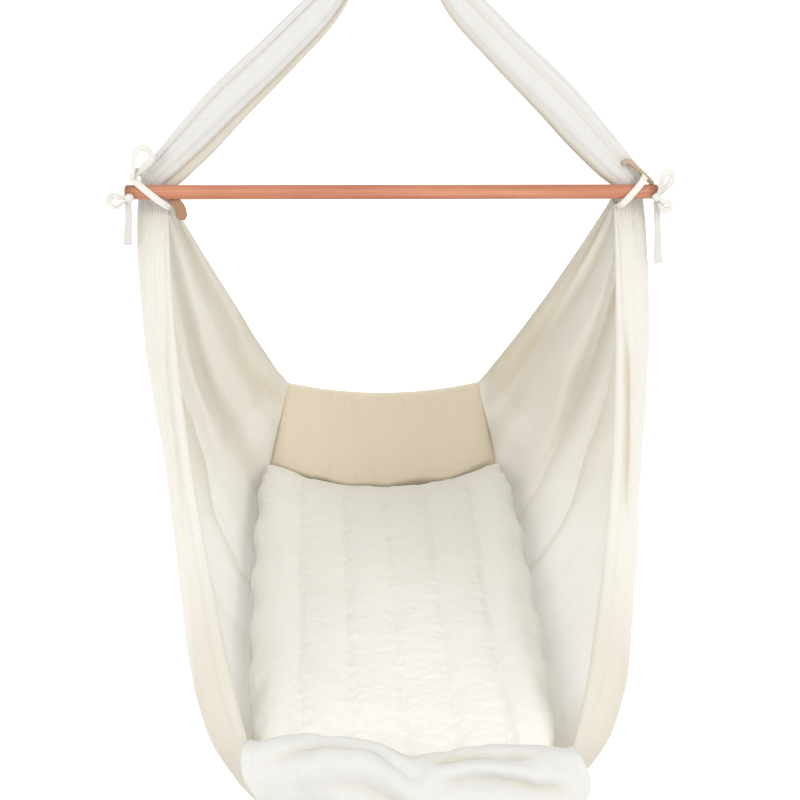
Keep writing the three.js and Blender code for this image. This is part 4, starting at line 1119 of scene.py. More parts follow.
def foot_stations(s):
    middle = 1.0 - s**2
    hump = FOOT_HUMP_H * ((np.sin(math.pi * s) ** 2 + 0.02) ** 0.35 - 0.35 * middle)
    hump = hump - FOOT_DIP * eased(s, 0.0, 0.6)
    stations = []
    for row, bow in enumerate(SEAM_BOW_SHARES):
        rise = row / 3
        here = between_walls(END_SHARE - row * END_SHARE / 3, 0.99 * s)
        here[:, 1] -= bow * FOOT_ROLL_D * middle
        here[:, 2] += hump * rise**2 - FLOOR_SAG * (1.0 - rise) * middle
        stations.append(here)
    flap = zip(FLAP_OUT_SHARES, FLAP_DROP_SHARES, FLAP_WIDTH_SHARES, FLAP_FOLD_SHARES)
    for out, drop, wide, fold in flap:
        here = between_walls(0.0, wide * s)
        wave = FOOT_FOLD_D * fold * middle * np.cos(math.pi * 3.5 * (s + 1.0))
        here[:, 1] = FOOT_Y - FOOT_ROLL_D * (out + 0.3 * middle) - wave
        here[:, 2] += hump * (1.0 - max(drop, 0.0)) - FOOT_FLAP_DROP * drop
        here[:, 0] += FLAP_SWAY * eased(drop, -0.1, 0.3)
        stations.append(here)
    return np.array(stations)


# Rolls and hollows of the flap: height, width, then its way over the cloth from the top crest, in metres
FOOT_HEAPS = [
    (0.0080, 0.016, [(-0.150, 0.012), (-0.105, -0.002), (-0.050, 0.002), (-0.005, 0.022)]),
    (-0.0075, 0.007, [(-0.135, 0.034), (-0.085, 0.020), (-0.040, 0.016), (0.000, 0.030)]),
    (0.0080, 0.014, [(-0.140, 0.056), (-0.080, 0.040), (-0.020, 0.038), (0.030, 0.062)]),
    (-0.0090, 0.008, [(0.012, 0.020), (0.045, 0.022), (0.085, 0.026), (0.120, 0.014)]),
    (0.0090, 0.010, [(0.020, 0.036), (0.065, 0.032), (0.105, 0.038), (0.140, 0.026)]),
    (-0.0070, 0.007, [(0.010, 0.048), (0.060, 0.047), (0.110, 0.053), (0.145, 0.040)]),
    (0.0080, 0.012, [(0.020, 0.066), (0.075, 0.064), (0.125, 0.066)]),
    (-0.0045, 0.009, [(-0.120, 0.074), (-0.050, 0.060), (0.010, 0.080), (0.080, 0.084)]),
    (0.0050, 0.014, [(-0.110, 0.100), (-0.030, 0.090), (0.060, 0.098), (0.120, 0.084)]),
]


def make_foot_wall():
    """Up from the floor's seam, rolled over outwards, and hanging in soft heaped folds."""
    columns, rows = 210, 170
    s = np.linspace(-1.0, 1.0, columns)
    stations = foot_stations(s)
    points = smooth_through(stations.reshape(len(stations), -1), rows).reshape(rows, columns, 3)
    u = np.broadcast_to(FOOT_HALF_W * s, (rows, columns))
    v = lengths_along(points, 0)
    below = v - v[int(rows * 3.3 / 10)].mean()
    heaps = sum(height * furrow(u, below, way, width) for height, width, way in FOOT_HEAPS)
    shown = eased(below, HEAPS_FROM, HEAPS_FULL)
    heaps = heaps * shown + FOOT_RUMPLE_H * soft_noise(60.0 * u, 45.0 * v, 51) * (0.4 + 0.6 * shown)
    heaps += FOOT_FINE_RUMPLE_H * soft_noise(150.0 * u, 120.0 * v, 52)
    normals = grid_normals(points)
    if normals[int(rows * 0.7), columns // 2, 1] > 0:
        normals = -normals
    by_hem = mix(0.15, 1.0, eased(v[-1] - v, 0.0, FOOT_HELD_W))
    points = points + normals * (heaps * by_hem * (1.0 - np.abs(s) ** 6))[..., None]
    # Painted shade: tan in the hollows of the heaped folds
    obj = grid_object("foot_wall", points, tone=0.45 * eased(-heaps, 0.0, FOOT_SHADE_D))
    hem = eased(v - v[-1], -FOOT_HEM_W, FOOT_HEM_EDGE - FOOT_HEM_W)
    hem = np.maximum(hem, 0.7 * eased(np.abs(s), 0.955, 0.965))
    normals = grid_normals(points)
    middle = v[:, columns // 2]
    sewn = int(np.searchsorted(middle, middle[-1] - FOOT_SEAM_FROM_HEM))
    seam_line(points[sewn, 6:-6], normals[sewn, 6:-6], HEM_T)
    thickened(obj, HEM_T, hem, CLOTH_T / HEM_T)
    finished(place_from_bar(obj), PAINTED_SHADE_COTTON, "cotton", "foot_panel")


make_foot_wall()


# Pad

PAD_FOOT_HALF_W = 0.161
PAD_HEAD_HALF_W = 0.170
PAD_LIFT = 0.027
PAD_HEAD_LIFT = 0.047
PAD_HEAD_LEAN = 0.014
PAD_T = 0.048
PAD_END_GAP = 0.009
PAD_REST_GAP = 0.0015
PAD_WAVE = 0.002
PAD_CHANNELS = 6
PAD_CHANNEL_D = 0.0035
PAD_UNEVEN_H = 0.0030
PAD_BULGE = 0.005
PAD_WELD = 0.00002
PAD_CELL = 0.006
PAD_PUFF_MOST = 0.009
PAD_STITCH_D = 0.0016
PAD_PUCKER_H = 0.0012
PAD_FINE_PUCKER_H = 0.0007
PAD_STEPS = 20
LOOK_DOWN_FROM = 0.1
FLOOR_L = FLOOR_HEAD_Y - FLOOR_FOOT_Y
PAD_CLOTH = {
    "quality": 4,
    "mass": 0.2,
    "tension_stiffness": 12.0,
    "compression_stiffness": 12.0,
    "shear_stiffness": 4.0,
    "bending_stiffness": 0.2,
    "use_pressure": True,
    "uniform_pressure_force": 4.0,
    "vertex_group_mass": "held",
}
PAD_GRID = (90, 180)


def channel_height(s):
    return 0.5 + 0.5 * np.cos(PAD_CHANNELS * math.pi * (s + 1.0))


def pad_surface(s, t, upper):
    waves = PAD_WAVE * np.cos(PAD_CHANNELS * math.pi * t)
    half_l = FLOOR_L / 2 - PAD_END_GAP
    y = (FLOOR_HEAD_Y + FLOOR_FOOT_Y) / 2 + t * half_l * (1.0 - 0.03 * s**6)
    share = (y - FLOOR_FOOT_Y) / FLOOR_L
    half_w = mix(PAD_FOOT_HALF_W, PAD_HEAD_HALF_W, share) - waves
    x = s * half_w * (1.0 - 0.075 * t**6) + sway(share)
    rest = floor_middle(np.zeros_like(share), share)[..., 2] + PAD_REST_GAP
    by_head = share**3
    rest = rest + mix(PAD_LIFT, PAD_HEAD_LIFT, by_head) * np.abs(s) ** 2.4
    fill = np.sqrt((1.0 - s**6) * (1.0 - t**12))
    crown = mix(0.28, 1.0, fill)
    if not upper:
        return np.stack([x, y, rest + PAD_T * (1.0 - crown) / 2], -1)
    channel = PAD_CHANNEL_D * fill * channel_height(s) ** 2
    broad = PAD_UNEVEN_H * soft_noise(3.2 * s + 4.0, 6.0 * t, 63) * fill
    top = rest + PAD_T * (1.0 + crown) / 2 - channel + broad
    return np.stack([x, y + PAD_HEAD_LEAN * by_head**2, top], -1)


def rim_of(face):
    """The points round the edge of a grid, in order."""
    return np.concatenate([face[0, :], face[1:, -1], face[-1, -2::-1], face[-2:0:-1, 0]])


def pad_shell():
    """The plain filled pad as one closed mesh, before it is puffed up."""
    s, t = np.meshgrid(*(-np.cos(np.linspace(0.0, math.pi, count)) for count in PAD_GRID))
    upper, lower = pad_surface(s, t, True), pad_surface(s, t, False)
    top = grid_object("pad_top", upper)
    bottom = grid_object("pad_bottom", lower[:, ::-1])
    rim_top, rim_low = rim_of(upper), rim_of(lower)
    middle = (rim_top + rim_low) / 2
    away = unit(middle - middle.mean(0)) * [1, 1, 0]
    steps = np.linspace(0.0, 1.0, 9)[:, None, None]
    side = mix(rim_top[None], rim_low[None], steps) + away[None] * PAD_BULGE * np.sin(math.pi * steps)
    obj = joined("pad", [top, bottom, grid_object("pad_side", side, None, False, True)])
    with editing(obj) as working:
        bmesh.ops.remove_doubles(working, verts=working.verts, dist=PAD_WELD)
    return outward(obj)


def vertex_array(mesh, key="co"):
    rows = np.empty(len(mesh.vertices) * 3, np.float32)
    mesh.vertices.foreach_get(key, rows)
    return rows.reshape(-1, 3)


def set_places(mesh, points):
    mesh.vertices.foreach_set("co", points.ravel())
    mesh.update()


def blown_up(obj):
    """Where the mesh's points are, and how far each goes when it is filled and held at its seams."""
    start = vertex_array(obj.data)
    pins = obj.vertex_groups.new(name="held")
    for index, weight in enumerate(pad_held(start)):
        if weight > 0.02:
            pins.add([index], float(weight), "REPLACE")
    cloth = obj.modifiers.new("cloth", "CLOTH")
    for key, value in PAD_CLOTH.items():
        setattr(cloth.settings, key, value)
    cloth.settings.effector_weights.gravity = 0.0
    cloth.collision_settings.use_collision = False
    cloth.point_cache.frame_start = 1
    cloth.point_cache.frame_end = PAD_STEPS
    scene = bpy.context.scene
    for number in range(1, PAD_STEPS + 1):
        scene.frame_set(number)
    graph = bpy.context.evaluated_depsgraph_get()
    moved = vertex_array(obj.evaluated_get(graph).data) - start
    obj.modifiers.clear()
    scene.frame_set(1)
    return start, moved


def puffed(obj):
    """An even mesh of the pad, swollen between its seams."""
    remesh = obj.modifiers.new("cells", "REMESH")
    remesh.mode = "VOXEL"
    remesh.voxel_size = PAD_CELL
    made_plain(obj)
    start, moved = blown_up(obj)
    length = np.linalg.norm(moved, axis=1, keepdims=True)
    after = start + moved * np.minimum(1.0, PAD_PUFF_MOST / np.maximum(length, 1e-9))
    set_places(obj.data, after.astype(np.float32))
    obj.modifiers.new("finer", "SUBSURF").levels = 1
    return outward(made_plain(obj))


def pad_places(points):
    """Where points of the pad lie, from -1 to 1 across and along it."""
    share = (points[:, 1] - FLOOR_FOOT_Y) / FLOOR_L
    half_w = mix(PAD_FOOT_HALF_W, PAD_HEAD_HALF_W, share)
    return (points[:, 0] - sway(share)) / half_w, 2.0 * share - 1.0


def pad_held(points):
    s, t = pad_places(points)
    seam = np.clip(channel_height(s) - 0.86, 0.0, 0.1) * 10.0
    rest = floor_middle(np.zeros(len(s)), (t + 1.0) / 2.0)[:, 2]
    under = points[:, 2] < (rest + PAD_T * 0.35 + PAD_LIFT * np.abs(s) ** 2.4)
    return np.maximum(seam * (np.abs(s) < 0.9), under * 1.0)


def quilted(obj):
    """Stitch lines down the bottoms of the pad's channels, laid on its top face."""
    tree = BVHTree.FromPolygons([v.co for v in obj.data.vertices], [f.vertices for f in obj.data.polygons])
    t = np.linspace(-0.9, 0.9, 160)
    for line in range(1, PAD_CHANNELS):
        above = pad_surface(np.full(160, -1.0 + line * 2.0 / PAD_CHANNELS), t, True)
        above[:, 2] += LOOK_DOWN_FROM
        hits = [tree.ray_cast(Vector(place), Vector(-Z_AXIS)) for place in above]
        hits = [hit for hit in hits if hit[0]]
        points, normals = (np.array([hit[i] for hit in hits]) for i in range(2))
        seam_line(points, normals, 0.0, False)


def make_pad():
    obj = puffed(pad_shell())
    points = vertex_array(obj.data)
    s, t = pad_places(points)
    up = vertex_array(obj.data, "normal")[:, 2:3]
    quilt = (np.abs(t) < 0.93) * (np.abs(s) < 0.9)
    stitched = PAD_STITCH_D * np.clip(channel_height(s) - 0.9, 0.0, 0.1) * 10.0 * quilt
    puckers = PAD_PUCKER_H * soft_noise(10.0 * s, 34.0 * t, 61) * channel_height(s)
    puckers += PAD_FINE_PUCKER_H * soft_noise(26.0 * s, 70.0 * t, 62)
    points[:, 2:3] += (puckers - stitched)[:, None] * np.clip(up, 0.0, 1.0)
    set_places(obj.data, points)
    quilted(obj)
    finished(place_from_bar(obj), PAD_SHADE_COTTON, "pad_cotton", "mattress")


make_pad()


# Stitches


def stitch_tree():
    """Short threads set end to end along every line, each a little longer or shorter than the last."""
    tree = bpy.data.node_groups.new("stitches", "GeometryNodeTree")
    for label, side in (("Lines", "INPUT"), ("Stitches", "OUTPUT")):
        tree.interface.new_socket(label, in_out=side, socket_type="NodeSocketGeometry")
    pitch = add_node(tree, "ShaderNodeValue").outputs[0]
    pitch.default_value = STITCH_PITCH

    def made(kind, output, inputs, **settings):
        node = add_node(tree, kind, **settings)
        set_inputs(tree, node, inputs)
        return node.outputs[output]

    lines = made("NodeGroupInput", "Lines", {})
    curve = made("GeometryNodeMeshToCurve", "Curve", {"Mesh": lines})
    spread = made("GeometryNodeResampleCurve", "Curve", {"Curve": curve, "Length": pitch}, mode="LENGTH")
    thread = made("GeometryNodeMeshUVSphere", "Mesh", {"Segments": 8, "Rings": 4, "Radius": 1.0})
    tangent = made("GeometryNodeInputTangent", "Tangent", {})
    turn = made("FunctionNodeAlignRotationToVector", "Rotation", {"Vector": tangent}, axis="Z")
    vary = made("FunctionNodeRandomValue", 1, {2: 0.42, 3: 0.52, "Seed": 5}, data_type="FLOAT")
    half_l = math_node(tree, "MULTIPLY", vary, STITCH_L)
    size = made("ShaderNodeCombineXYZ", 0, {"X": THREAD_R, "Y": THREAD_R, "Z": half_l})
    places = {"Points": spread, "Instance": thread, "Rotation": turn, "Scale": size}
    set_down = made("GeometryNodeInstanceOnPoints", "Instances", places)
    real = made("GeometryNodeRealizeInstances", "Geometry", {"Geometry": set_down})
    sewn = made("GeometryNodeSetMaterial", "Geometry", {"Geometry": real, "Material": THREAD})
    set_inputs(tree, add_node(tree, "NodeGroupOutput"), {"Stitches": sewn})
    return tree


def make_stitches():
    points, edges = [], []
    for line in SEAM_LINES:
        first = len(points)
        points += line.tolist()
        edges += [(i, i + 1) for i in range(first, len(points) - 1)]
    mesh = bpy.data.meshes.new("seam_stitches")
    mesh.from_pydata(points, edges, [])
    obj = new_object("seam_stitches", mesh)
    obj.modifiers.new("sewing", "NODES").node_group = stitch_tree()
    finished(place_from_bar(outward(made_plain(obj))), THREAD, "cotton")


make_stitches()


# Wooden bar

BAR_POLE_R = 0.0005


def make_bar():
    inset = BAR_HALF_L - BAR_END_ROUND
    end = arc((BAR_R - BAR_END_ROUND, inset), BAR_END_ROUND, 0.0, 90.0, 8)
    half = [[BAR_POLE_R, BAR_HALF_L], *end[::-1].tolist()]
    body = np.linspace(inset, -inset, 60)[1:-1]
    outline = [*half, *[[BAR_R, h] for h in body], *[[r, -h] for r, h in half[::-1]]]
    finished(place_from_bar(lathe("wooden_bar", outline)), WOOD, "varnished_wood", "spreader_bar")


make_bar()


# Tape lashed round the bar and the gather, with bows at the ends

LASH_SLACK = 0.007
LASH_REST = 0.0008
LASH_BACK_Y = GATHER_Y + GATHER_HALF_D + LASH_SLACK
LASH_FRONT_Y = -BAR_R - TAPE_GAP - LASH_REST
LASH_HALF_W = 0.0217
LASH_OUT = 0.0045
RIGHT_LASH_HALF_W = 0.0150
RIGHT_LASH_OUT = 0.0040


def make_lashing(name, node, hand, slope_deg, half_w, outwards):
    """Tape round bar and gather: how steep it lies, how wide it reaches and how far out."""
    slope = math.radians(slope_deg)
    inwards = np.array([math.cos(slope), 0.0, -math.sin(slope)])
    middle = np.array([-GATHER_X - outwards, (LASH_FRONT_Y + LASH_BACK_Y) / 2, 0.0])
    turn = full_turn(120)
    path = middle + inwards * (half_w / math.cos(slope) * boxy(np.cos(turn)))[:, None]
    path[:, 1] += (LASH_BACK_Y - LASH_FRONT_Y) / 2 * boxy(np.sin(turn))
    width = np.array([hand * math.sin(slope), 0.0, math.cos(slope)])
    obj = swept(name, mirrored(path, hand), tape_section(TAPE_W, TAPE_T, 9), width, True)
    finished(place_from_bar(obj), TAPE, "tape", node)


make_lashing("lashed_tape_left", "lashing_left", 1.0, 40.0, LASH_HALF_W, LASH_OUT)
make_lashing("lashed_tape_right", "lashing_right", -1.0, 50.0, RIGHT_LASH_HALF_W, RIGHT_LASH_OUT)

LOOP_ALONG_SHARES = [0, 0.35, 0.75, 1, 0.82, 0.42, 0]
LOOP_ASIDE_SHARES = [0.1, 0.45, 1, 0.2, -1, -0.5, -0.1]
LOOP_BOW = 0.0032
LOOP_HALF_GAP = 0.0016
LOOP_W = 0.0072
LOOP_T = 0.0014


def bow_loop(name, knot, reach, turn_deg, wide):
    """One soft loop of flat tape: how far it reaches, which way, and its half width as a share."""
    angle = math.radians(turn_deg)
    along = np.array([math.cos(angle), 0.0, math.sin(angle)])
    aside = np.array([-math.sin(angle), 0.0, math.cos(angle)])
    path = []
    for far, off in zip(LOOP_ALONG_SHARES, LOOP_ASIDE_SHARES):
        bow = LOOP_BOW * math.sin(math.pi * far)
        path.append(knot + along * reach * far + aside * reach * wide * off - Y_AXIS * bow)
    path = smooth_through(path, 64)
    path[:, 1] += np.linspace(-LOOP_HALF_GAP, LOOP_HALF_GAP, len(path))
    share = np.linspace(0.0, 1.0, len(path))
    lean = (0.35 + 0.55 * np.sin(2 * math.pi * share + 0.6))[:, None]
    flat = unit(np.cross(unit(np.gradient(path, axis=0)), Y_AXIS))
    sides = flat * np.cos(lean) + Y_AXIS * np.sin(lean)
    pinched = mix(0.62, 1.0, eased(np.minimum(share, 1.0 - share), 0.0, 0.22))
    section = np.stack([tape_section(LOOP_W * w, LOOP_T, 7) for w in pinched])
    return swept(name, path, section, sides)


KNOT_TURNS = ((0.3, 1.0), (1.35, 0.93), (2.4, 0.96))
KNOT_TWIST = 0.0006
KNOT_CORD_HALF_W = 0.0024
KNOT_CORD_HALF_T = 0.0018
KNOT_GAP = 0.0003
KNOT_Y = -math.sqrt((BAR_R + KNOT_R + KNOT_GAP) ** 2 - (KNOT_R / 2) ** 2)
LEFT_KNOT = np.array([-BAR_HALF_L + KNOT_R, KNOT_Y, -KNOT_R / 2])
RIGHT_KNOT = np.array([BAR_HALF_L - KNOT_R / 2, KNOT_Y, -KNOT_R / 2])


def make_knot(name, knot):
    """Three turns of tape drawn into a small round knot."""
    turn = full_turn(48)
    section = np.stack([KNOT_CORD_HALF_W * np.cos(turn[::4]), KNOT_CORD_HALF_T * np.sin(turn[::4])], -1)
    twist = KNOT_TWIST * np.sin(2 * turn)
    turns = []
    for tilt, size in KNOT_TURNS:
        radius = KNOT_R * 0.62 * size
        flat = np.stack([radius * np.cos(turn), radius * np.sin(turn) * 0.9, twist], -1)
        spin = np.array(Matrix.Rotation(tilt, 3, "Y"))
        ring = flat @ spin.T + knot
        turns.append(swept(f"{name}_{len(turns)}", ring, section, None, True, spin @ Z_AXIS))
    return turns


# Loops of the bows: start from the knot, reach, direction in degrees, half width as a share
LEFT_LOOPS = [([0.0, 0.0, 0.0], 0.022, 190.0, 0.30), ([0.005, 0.003, 0.021], 0.037, 66.0, 0.26)]
RIGHT_LOOPS = [([0.0, 0.0, 0.0], 0.031, 64.0, 0.17), ([0.0, 0.0, 0.0], 0.019, 316.0, 0.26)]


def make_bow(name, node, knot, loops):
    """A knot with its loops; each loop starts some way from the knot, under the lashed tape."""
    parts = make_knot(f"{name}_knot", knot)
    parts += [bow_loop(f"{name}_loop_{i}", knot + start, *loop) for i, (start, *loop) in enumerate(loops)]
    finished(place_from_bar(joined(name, parts)), TAPE, "tape", node)


make_bow("tied_bow_left", "bow_left", LEFT_KNOT, LEFT_LOOPS)
make_bow("tied_bow_right", "bow_right", RIGHT_KNOT, RIGHT_LOOPS)

TAB_W = 0.011
TAB_T = 0.0017
TAB_OUT = 0.003
TAB_HANG = 0.021
TAB_LEAN = 0.009
TAB_SHARES = [(0.34, 0.12), (0.46, 0.4), (0.5, 1.0)]
CORD_TWIST_R = 0.00150
CORD_STRAND_R = 0.00165
CORD_TURNS = 7
CORD_SHARES = [
    (0.979, 0.35, 1.0), (0.949, 0.66, 2.1), (0.913, 0.95, 3.3), (0.888, 1.1, 4.0), (0.868, 1.05, 3.7),
]


def make_tan_tab():
    turn_r = BAR_R + TAPE_GAP + TAPE_T / 2
    x = LASH_HALF_W - LASH_OUT + TAB_W / 2 - GATHER_X - TAB_OUT
    bend = arc((0.0, 0.0), turn_r, 0.0, -100.0, 14)
    hang = [[-turn_r * forward, -turn_r - TAB_HANG * down] for forward, down in TAB_SHARES]
    pairs = np.vstack([bend, smooth_through([bend[-2], bend[-1], *hang], 30)[8:]])
    share = np.linspace(0.0, 1.0, len(pairs))
    path = in_plane(pairs, "YZ") + [x, 0.0, 0.0] + np.outer(eased(share, 0.3, 1.0), TAB_LEAN * X_AXIS)
    widths = TAB_W * (1.0 + 0.12 * eased(share, 0.5, 0.85)) * (1.0 - 0.45 * eased(share, 0.93, 1.0))
    obj = swept("tan_tab", path, np.stack([tape_section(width, TAB_T) for width in widths]), X_AXIS)
    finished(place_from_bar(obj), TAN, "tan_tape", "tan_tab_left")


def make_tan_cord():
    """Two strands twisted together along the front of the sling."""
    middle = smooth_through([[BAR_HALF_L * x, BAR_R * y, BAR_R * z] for x, y, z in CORD_SHARES], 90)
    along, sides = carried_sides(middle)
    other = np.cross(along, sides)
    turn = np.linspace(0.0, 2 * math.pi * CORD_TURNS, len(middle))[:, None]
    strands = []
    for i, start in enumerate((0.0, math.pi)):
        path = middle + CORD_TWIST_R * (sides * np.cos(turn + start) + other * np.sin(turn + start))
        strands.append(swept(f"tan_strand_{i}", path, round_section(CORD_STRAND_R, 12)))
    finished(place_from_bar(joined("tan_cord", strands)), TAN_CORD, "tan_tape", "tan_cord_right")


make_tan_tab()
make_tan_cord()


# Hanging hardware, counted from the eye's own place

EYE_WIRE_R = 0.003
EYE_BORE_R = 0.013
EYE_MEAN_R = EYE_BORE_R + EYE_WIRE_R
EYE_Z = -EYE_BORE_R
EYE_STEP = 0.001
EYE_EDGE = 0.0002
EYE_HEAD_R = 0.007
EYE_HEAD_H = 0.004
SHANK_R = 0.004
SHANK_POLE_R = 0.0004
WASHER_EDGE = 0.0002
BOSS_R = 0.008
BOSS_H = 0.009
BOSS_EDGE = 0.0008
BOSS_GAP = 0.002
BOSS_TOP_Z = EYE_Z - EYE_MEAN_R - EYE_WIRE_R - BOSS_GAP
RUN_GAP = 0.0003
LINK_ROD_R = 0.0035
LINK_HALF_W = 0.014
LINK_CORNER_R = 0.006
LINK_START_X = 0.006
LINK_L = 0.044
LINK_BOW_Z = BOSS_TOP_Z - BOSS_H / 2 - LINK_L


def make_eye():
    ring = in_plane(arc((0.0, EYE_Z), EYE_MEAN_R, 0.0, 360.0, 96)[:-1], "XZ")
    eye = swept("eye_ring", ring, round_section(EYE_WIRE_R, 20), Y_AXIS, True)
    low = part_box("swivel_eye")[0].z
    head_top = low + EYE_HEAD_H
    foot = EYE_Z - EYE_MEAN_R
    outline = [
        [SHANK_POLE_R, foot + 2 * EYE_STEP], [SHANK_R * 1.35, foot + EYE_STEP],
        [SHANK_R * 1.05, foot - 3 * EYE_STEP], [SHANK_R, foot - 4 * EYE_STEP], [SHANK_R, head_top],
        [EYE_HEAD_R - 4 * EYE_EDGE, head_top], [EYE_HEAD_R, head_top - 4 * EYE_EDGE],
        [EYE_HEAD_R, low + 6 * EYE_EDGE], [EYE_HEAD_R - 6 * EYE_EDGE, low + EYE_EDGE], [SHANK_POLE_R, low],
    ]
    shank = lathe("eye_shank", refined(outline), 48, "Z")
    finished(joined("eye_and_shank", [eye, shank]), ZINC, "zinc", "swivel_eye", body="eye")


def refined(outline):
    """The same outline with more points, so that its corners stay crisp when smoothed."""
    corners = np.array(outline)
    rows = [mix(a, b, k) for a, b in zip(corners[:-1], corners[1:]) for k in (0.04, 0.35, 0.65, 0.96)]
    return np.vstack([corners[:1], rows, corners[-1:]])


def bored_outline(outer, low, high, edge):
    """Section of a ring that turns on the shank, its corners cut by the edge."""
    inner = SHANK_R + RUN_GAP
    return np.array([
        [inner, low + edge], [inner + edge, low], [outer - edge, low], [outer, low + edge],
        [outer, high - edge], [outer - edge, high], [inner + edge, high], [inner, high - edge],
    ])


def make_washer():
    low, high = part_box("swivel_washer")
    obj = lathe("brass_washer", bored_outline(high.x, low.z, high.z, WASHER_EDGE), 64, "Z", True)
    finished(obj, BRASS, "brass_washer", "swivel_washer", body="swivel")


def link_rod():
    """The bent rod's line, from one side of the boss down, round the bow and up again."""
    corner_x = LINK_HALF_W - LINK_CORNER_R
    top = BOSS_TOP_Z - BOSS_H / 2
    corner_z = top - LINK_CORNER_R
    bow_z = LINK_BOW_Z + LINK_HALF_W
    rows = [
        np.linspace([LINK_START_X, top], [corner_x, top], 3)[:-1],
        arc((corner_x, corner_z), LINK_CORNER_R, 90.0, 0.0, 8),
        np.linspace([LINK_HALF_W, corner_z], [LINK_HALF_W, bow_z], 10)[1:-1],
        arc((0.0, bow_z), LINK_HALF_W, 0.0, -180.0, 32),
        np.linspace([-LINK_HALF_W, bow_z], [-LINK_HALF_W, corner_z], 10)[1:-1],
        arc((-corner_x, corner_z), LINK_CORNER_R, 180.0, 90.0, 8),
        np.linspace([-corner_x, top], [-LINK_START_X, top], 3)[1:],
    ]
    return in_plane(np.vstack(rows), "XZ")


def make_link():
    bow = swept("link_bow", link_rod(), round_section(LINK_ROD_R, 20), Y_AXIS)
    corners = bored_outline(BOSS_R, BOSS_TOP_Z - BOSS_H, BOSS_TOP_Z, BOSS_EDGE)
    after = np.roll(corners, -1, 0)
    outline = np.stack([mix(corners, after, k) for k in (0.0, 0.1, 0.9)], 1).reshape(-1, 2)
    boss = lathe("link_boss", outline, 64, "Z", True)
    finished(joined("swivel_bow", [bow, boss]), ZINC, "zinc", "swivel_link", body="swivel")


make_eye()
make_washer()
make_link()

SPRING_WIRE_R = 0.002
SPRING_COIL_R = 0.014
SPRING_PITCH = 0.0046
SPRING_TURNS = 16
SPRING_HOOK_R = 0.011
SPRING_RISE = 0.006


def spring_path():
    hook_top = LINK_BOW_Z + LINK_ROD_R + RUN_GAP + SPRING_WIRE_R
    upper = hook_top - SPRING_HOOK_R
    coil_top = upper - SPRING_HOOK_R - SPRING_RISE
    coil_low = coil_top - SPRING_TURNS * SPRING_PITCH
    lower = coil_low - SPRING_RISE - SPRING_HOOK_R
    turn_in = SPRING_COIL_R / 2
    rows = [in_plane(arc((0.0, upper), SPRING_HOOK_R, -20.0, 270.0, 48), "YZ")]
    half = arc((turn_in, 0.0), turn_in, 180.0, 0.0, 14)[1:-1]
    ease = eased(np.arange(1, 14) / 14, 0.0, 1.0)
    rows.append(np.column_stack([half, coil_top + SPRING_RISE * (1.0 - ease)]))
    turn = np.linspace(0.0, -2 * math.pi * SPRING_TURNS, SPRING_TURNS * 32 + 1)
    height = np.linspace(coil_top, coil_low, len(turn))
    rows.append(np.column_stack([SPRING_COIL_R * np.cos(turn), SPRING_COIL_R * np.sin(turn), height]))
    half = arc((turn_in, 0.0), turn_in, 0.0, -180.0, 14)[1:-1]
    rows.append(np.column_stack([half, coil_low - SPRING_RISE * ease]))
    rows.append(in_plane(arc((0.0, lower), SPRING_HOOK_R, 90.0, -200.0, 48), "YZ"))
    return np.vstack(rows), coil_top, coil_low


def make_spring():
    """One wire whose turns open as the cradle sinks; each section moves as one, so it stays round."""
    path, coil_top, coil_low = spring_path()
    section = round_section(SPRING_WIRE_R, 14)
    obj = swept("coil_spring", path, section, None, False, X_AXIS)
    finished(obj, STEEL, "steel", "spring", body=None)
    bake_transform(obj, "coil", "clip", start=(0.0, 0.0, coil_top), end=(0.0, 0.0, coil_low))
    shares = obj.data.attributes["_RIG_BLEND"].data
    values = np.zeros(len(shares), np.float32)
    shares.foreach_get("value", values)
    by_section = values.reshape(-1, len(section))
    by_section[:] = by_section.mean(1, keepdims=True)
    shares.foreach_set("value", by_section.ravel())


make_spring()

CLIP_LOW, CLIP_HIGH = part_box("carabiner_body")
CLIP_ROD_R = 0.004
CLIP_HALF_W = 0.015
CLIP_SHOULDER_L = 0.001
CLIP_STUB_L = 0.0004
TONGUE_T = 0.003
TONGUE_W = 0.005
NOSE_TONGUE_L = 0.0065
HEEL_TONGUE_L = 0.008


def tongue(name, from_z, to_z):
    """A flat plate at the end of the rod, round at its tip, for the gate to close over."""
    share = np.linspace(0.0, 1.0, 20)
    path = np.stack([np.full(20, CLIP_HALF_W), np.zeros(20), mix(from_z, to_z, share)], -1)
    tip = np.clip((share - 1.0) * abs(to_z - from_z) / (TONGUE_W / 2) + 1.0, 0.0, 0.98)
    widths = np.sqrt(1.0 - tip**2)
    section = np.stack([tape_section(TONGUE_W * w, TONGUE_T * min(1.0, 1.4 * w)) for w in widths])
    return swept(name, path, section, X_AXIS)


